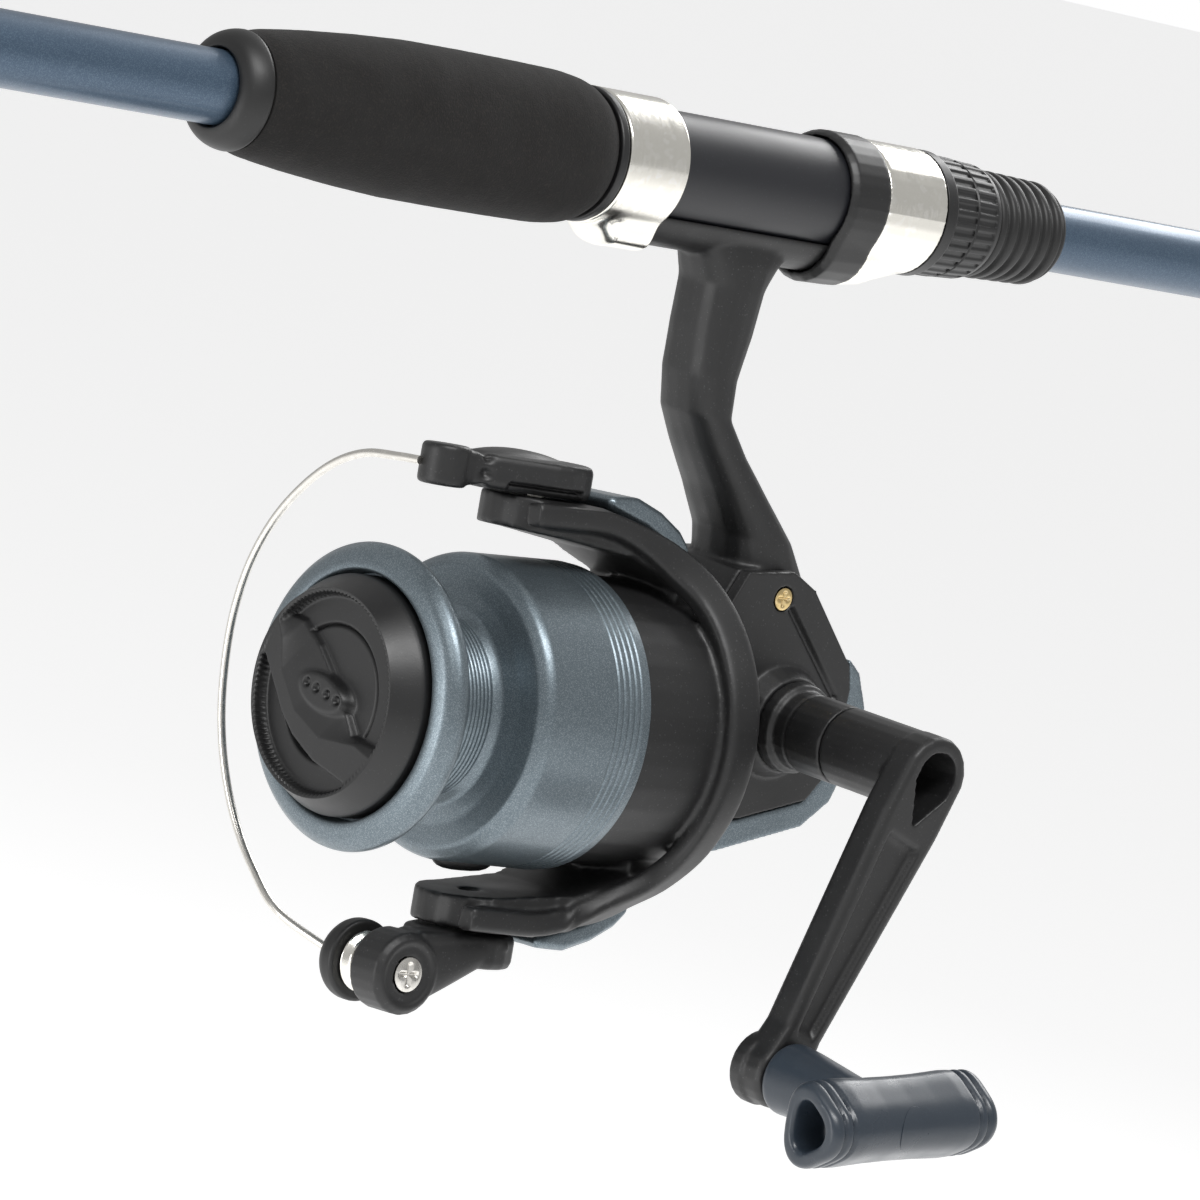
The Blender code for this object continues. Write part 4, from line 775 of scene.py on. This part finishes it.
def makeSpool(look):
    # the profile runs from the lip over the arbor and skirt and back through the hollow inside
    depth, pitch = look["arborLines"]
    along = np.arange(-52.9, -43.7, pitch / 8)
    arbor = np.stack([along, 16.4 - depth * (0.5 - 0.5 * np.cos(2 * np.pi * along / pitch)) ** 2], 1)
    skirt = np.arange(-37.8, -16.9, 0.12)
    radius = np.interp(skirt, [-38.6, -18.5, -16.5], [26.6, 27.0, 26.8])
    for line in look["skirtLines"]:
        radius -= 0.22 * np.exp(-((skirt - line) / 0.2) ** 2)
    front = fillet([(-58.0, 21.3)] + look["front"] + [(-52.9, 16.4)], 0.9, 5)[6:-6]
    rear = fillet([(-43.7, 16.4)] + look["rear"] + [(-37.8, 26.62)], 0.6, 5)[6:-6]
    back = fillet([(-16.9, 26.85)] + look["back"] + [(-62.3, 21.3)], 0.25, 3)[4:-4]
    rows = np.concatenate([front, arbor, rear, np.stack([skirt, radius], 1), back])
    mesh = gridMesh(ringPoints(rows, reelCentre, reelLine, 160), True)
    weighted(addPiece("spool_shape", mesh, ["spool"], smoothAngle=60))


makeSpool(spoolSet)

dragSet = {
    "face": -68.3, "rim": 20.7, "faceRadius": 17.9, "recess": 17.1, "floor": 2.6, "teeth": 110,
    "toothDepth": 0.35,
    "lean": math.radians(31), "ring": 11.8, "nut": (6.2, 3.0), "dents": (-4.2, -1.5, 1.5, 4.2),
    "left": [(-17, -6.0), (-15, -6.5), (-7.1, -9.4), (0, -10.2), (5, -9.6), (12.7, -7.0), (17.4, -5.6)],
    "crest": [(-17, 1.6), (-12.9, 0.4), (-5.6, -5.2), (2.4, -6.6), (10.1, -4.5), (14, -1.0), (18, 1.0)],
    "right": [(-17, 3.6), (-15, 2.4), (-10.4, 0.2), (-2.3, 2.6), (7.4, 4.2), (13.5, 4.2), (18, 2.0)],
}


def makeDragKnob(look):
    # depth over rings and sectors: a toothed dish with a ring groove, an S-shaped bar and a raised nut
    sides = 440
    angle = np.linspace(0, 2 * np.pi, sides, endpoint=False)[None, :]
    inner, edge = look["recess"], look["faceRadius"]
    r = np.concatenate([np.linspace(0, inner - 0.5, 80), inner - np.array([0.34, 0.2, 0.06, -0.05]),
                        [edge - 0.3, edge]])[:, None]
    y, z = r * np.cos(angle), r * np.sin(angle)
    c, s = math.cos(look["lean"]), math.sin(look["lean"])
    along, aside = y * c + z * s, z * c - y * s
    left, crest, right = (np.interp(along, *np.array(look[key]).T) for key in ("left", "crest", "right"))
    inDish = bump(r, inner - 0.25)
    floor = look["floor"] - 0.25 * (r > look["ring"]) + 0.5 * np.exp(-((r - look["ring"]) / 0.28) ** 2)
    onBar = bump((aside - (left + right) / 2), (right - left) / 2)
    slope = np.clip((aside - crest) / (right - crest), 0,
                    1) * 1.35 + np.clip((crest - aside) / (crest - left), 0, 1) * 0.25
    depth = inDish * (floor * (1 - onBar) + slope * onBar)
    nutLong, nutWide = look["nut"]
    turn = math.radians(-22)
    nutAlong = along * math.cos(turn) + aside * math.sin(turn)
    nutAside = aside * math.cos(turn) - along * math.sin(turn)
    nut = 1 / (1 + np.exp(np.clip((np.hypot(nutAlong / nutLong, nutAside / nutWide) - 1) * 22, -40, 40)))
    depth = depth * (1 - nut) + 0.1 * nut
    for spot in look["dents"]:
        depth = depth + 0.9 * bump(np.hypot(nutAlong - spot, nutAside - 0.3), 0.7)
    side, other, line = np.array((0, 1, 0)), np.array((0, 0, 1)), np.array((1, 0, 0))
    spread = np.cos(angle)[..., None] * side + np.sin(angle)[..., None] * other
    tooth = 0.5 - 0.5 * np.cos(look["teeth"] * angle)
    reach = r + look["toothDepth"] * tooth * (abs(r - inner + 0.14) < 0.3)
    top = np.array(reelCentre) + (look["face"] + depth)[..., None] * line + reach[..., None] * spread
    wall = fillet([(0.1, edge + 0.1), (4.6, 20.5), (5.2, 20.7), (9.9, 20.7), (9.9, 2.1), (6.2, 2.1),
                   (6.2, 0)], 0.25)[5:]
    outside = np.array(reelCentre) + (look["face"] + wall[:, 0, None, None]) * line + wall[:, 1, None,
                                                                                           None] * spread
    addPiece("drag_knob_shape", gridMesh(np.concatenate([top, outside])), ["drag_knob"], smoothAngle=45)


makeDragKnob(dragSet)

clipSet = {"at": -31.5, "angle": math.radians(-98), "long": 6.8, "wide": 2.6, "base": 26.2, "top": 28.1}


def makeLineClip(look):
    # a lens read on rings and sectors, bent round the skirt, with its underside inside the skirt
    angle = np.linspace(0, 2 * np.pi, 64, endpoint=False)
    rows = np.array([(0.0, 1.0), (0.35, 0.97), (0.6, 0.88), (0.8, 0.68), (0.92, 0.42), (1.0, 0.1),
                     (1.0, 0.0), (0.0, 0.0)])
    x = look["at"] + rows[:, 0, None] * look["long"] * np.cos(angle)
    turn = look["angle"] + rows[:, 0, None] * look["wide"] * np.sin(angle) / look["top"]
    r = look["base"] + (look["top"] - look["base"]) * rows[:, 1, None] + 0 * angle
    points = np.stack([x, r * np.cos(turn), reelZ + r * np.sin(turn)], -1)
    addPiece("line_clip_shape", gridMesh(points), ["line_clip"], smoothAngle=50)


makeLineClip(clipSet)
print("spool and drag made")


# crank and handle

crankSet = {"centre": (27.5, 0, reelZ + 5.2), "lean": math.radians(20.4), "throw": 57.8}


def onCrank(points):
    # turns points into the crank's own drawing, where the arm hangs straight down from the origin
    c, s = math.cos(crankSet["lean"]), math.sin(crankSet["lean"])
    x, y, z = (points - np.array(crankSet["centre"])).T
    return np.stack([x * c - z * s, y, x * s + z * c], 1)


def carveArm(points, normals):
    # a tapering channel sunk into the near face
    u, y, w = onCrank(points).T
    near = np.clip(-normals[:, 1], 0, 1)
    share = np.clip((-w - 13) / 36, 0, 1)
    half = 4.0 - 2.0 * share
    ends = 1 / (1 + np.exp(np.clip((abs(w + 31) - 18.5) * 3, -40, 40)))
    return -1.3 * bump(u, half) * ends * near


def carveShank(points, normals):
    # a thin seam round the shank
    u, y, w = onCrank(points).T
    seam = -0.25 * np.exp(-((y + 21.5) / 0.3) ** 2)
    return seam * (np.hypot(u, w) > 5)


softened("crank_arm", 0.35, 4, carve=carveArm)
softened("crank_shank", 0.3, 3, carve=carveShank)
turnedPiece("shaft_cap", [(15.3, 0), (15.3, 8.4), (19.8, 8.2), (21.3, 6.6), (21.3, 0)], crankSet["centre"],
            (0, 1, 0))

knobSet = {
    "half": 19.6, "tilt": math.radians(5.5), "near": -72.8, "far": -86.2, "height": 15.0,
    "grooves": (14.9, 16.9),
}
hang = crankSet["throw"] * np.array((math.sin(crankSet["lean"]), 0, math.cos(crankSet["lean"])))
knobPlace = np.array(crankSet["centre"]) - hang


def barMesh(look):
    # a rounded triangle carried along the bar, smaller at its ends and hollow at one of them
    half = look["half"]
    rows = [(-half + 7, 0.0), (-half + 7, 0.46), (-half + 0.6, 0.56), (-half, 0.62), (-half, 0.84),
            (-half + 0.5, 0.92),
            (-half + 1.3, 0.96), (-12, 0.985), (-6, 0.95), (0, 0.94), (6, 0.95), (12, 0.985),
            (half - 1.3, 0.96), (half - 0.5, 0.9),
            (half, 0.8), (half, 0.0)]
    distance, scale = np.array(rows).T
    angle = np.linspace(0, 2 * np.pi, 72, endpoint=False)
    bulge = 1 - 0.10 * np.cos(3 * angle)
    y = scale[:, None] * (look["near"] - look["far"]) / 2 * bulge * np.cos(angle)
    z = scale[:, None] * look["height"] / 2 * bulge * np.sin(angle)
    x = distance[:, None] * np.ones(72)
    c, s = math.cos(look["tilt"]), math.sin(look["tilt"])
    turned = np.stack([x * c - z * s, y, x * s + z * c], -1)
    return gridMesh(turned + knobPlace + (0, (look["near"] + look["far"]) / 2, 0))


def carveKnob(points, normals):
    # two grooves round each end of the bar
    c, s = math.cos(knobSet["tilt"]), math.sin(knobSet["tilt"])
    x, y, z = (points - knobPlace).T
    along = x * c + z * s
    across = z * c - x * s
    middle = (knobSet["near"] + knobSet["far"]) / 2
    reach = np.hypot((y - middle) / (knobSet["near"] - knobSet["far"]), across / knobSet["height"]) * 2
    inBar = (y < knobSet["near"] + 1) & (reach > 0.72)
    depth = np.zeros(len(points))
    for groove in knobSet["grooves"]:
        depth -= 0.55 * np.exp(-((abs(along) - groove) / 0.34) ** 2)
    return depth * inBar * (abs(normals[:, 0]) < 0.75)


def makeKnob(look):
    # the bar and its stem in one mesh, to be made one skin
    stem = gridMesh(ringPoints(fillet([(-53.6, 0), (-53.6, 5.9), (-54.6, 6.4), (-59, 6.1), (-70, 4.9),
                                       (-75, 5.4), (-77, 5.4), (-77, 0)], 0.5),
                               knobPlace, (0, 1, 0), 72))
    bm = bmesh.new()
    bm.from_mesh(barMesh(look))
    bm.from_mesh(stem)
    mesh = bpy.data.meshes.new("knob")
    bm.to_mesh(mesh)
    bm.free()
    return mesh


knobPiece = skinned("handle_knob_shape", "handle_knob", makeKnob(knobSet), 0.3, 10, carveKnob)

plugSet = {"radius": 4.0, "proud": 0.12, "back": -83.6}


def makePlug(look):
    # rings and sectors of a disc laid on the bar's near side by projection, with a flat back inside the bar
    angle = np.linspace(0, 2 * np.pi, 64, endpoint=False)
    r = np.concatenate([np.linspace(0, 1, 14), [1.0]])[:, None] * look["radius"]
    y = np.full(r.shape, -92.0)
    y[-1] = look["back"]
    points = np.stack(np.broadcast_arrays(knobPlace[0] + r * np.cos(angle), y,
                                          knobPlace[2] + r * np.sin(angle)), -1)
    mesh = gridMesh(points)
    carrier = bpy.data.objects.new("plug_carrier", mesh)
    scene.collection.objects.link(carrier)
    height = np.empty(len(mesh.vertices) * 3)
    mesh.vertices.foreach_get("co", height)
    group = carrier.vertex_groups.new(name="face")
    group.add(np.flatnonzero(height[1::3] < -0.09).tolist(), 1.0, "REPLACE")
    press = carrier.modifiers.new("Press", "SHRINKWRAP")
    press.wrap_method = "PROJECT"
    press.use_project_y = True
    press.use_positive_direction = True
    press.use_negative_direction = False
    press.target = knobPiece
    press.vertex_group = "face"
    press.offset = look["proud"] * mm
    graph = bpy.context.evaluated_depsgraph_get()
    disc = bpy.data.meshes.new_from_object(carrier.evaluated_get(graph))
    bpy.data.objects.remove(carrier)
    addPiece("knob_plug_shape", disc, ["knob_plug"], smoothAngle=40)


makePlug(plugSet)
print("crank and handle made")


# floor, backdrop and lights

stageSet = {"floor": -0.42, "size": 90.0, "glow": 0.40, "colour": (0.93, 0.93, 0.93)}


def makeStage(look):
    mesh = bpy.data.meshes.new("floor")
    half = look["size"] / 2
    mesh.from_pydata([(-half, -half, look["floor"]), (half, -half, look["floor"]),
                      (half, half, look["floor"]),
                      (-half, half, look["floor"])], [], [(0, 1, 2, 3)])
    floor = bpy.data.objects.new("floor", mesh)
    material = bpy.data.materials.new("floor")
    material.use_nodes = True
    shader = material.node_tree.nodes["Principled BSDF"]
    shader.inputs["Base Color"].default_value = (*look["colour"], 1)
    shader.inputs["Roughness"].default_value = 0.9
    shader.inputs["Emission Color"].default_value = (1, 1, 1, 1)
    shader.inputs["Emission Strength"].default_value = look["glow"]
    mesh.materials.append(material)
    scene.collection.objects.link(floor)


makeStage(stageSet)
world = bpy.data.worlds.new("studio")
scene.world = world
world.use_nodes = True
sky = world.node_tree.nodes["Background"]
sky.inputs["Color"].default_value = (1, 1, 1, 1)
rays = place(world.node_tree, "ShaderNodeLightPath")  # the sky shows white and lights the object more softly
strength = place(world.node_tree, "ShaderNodeMapRange")
strength.inputs["To Min"].default_value = 0.5
wire(world.node_tree, (rays.outputs["Is Camera Ray"], strength.inputs["Value"]),
     (strength.outputs["Result"], sky.inputs["Strength"]))
scene.view_settings.view_transform = "Standard"

lights = [
    ("key", (-0.35, -0.75, 1.05), (0, 0, -0.08), 0.9, 0.35, 16),
    ("rim", (0.9, 0.3, 0.6), (0, 0, -0.08), 0.6, 0.5, 6),
    ("low", (-1.0, 0.1, -0.12), (-0.03, 0, -0.1), 0.25, 0.6, 3),
]
for name, spot, target, wide, high, power in lights:
    data = bpy.data.lights.new(name, "AREA")
    data.shape = "RECTANGLE"
    data.size, data.size_y = wide, high
    data.energy = power
    lamp = bpy.data.objects.new(name, data)
    scene.collection.objects.link(lamp)
    lamp.location = spot
    lamp.rotation_euler = (Vector(target) - Vector(spot)).to_track_quat("-Z", "Y").to_euler()
print("stage made")
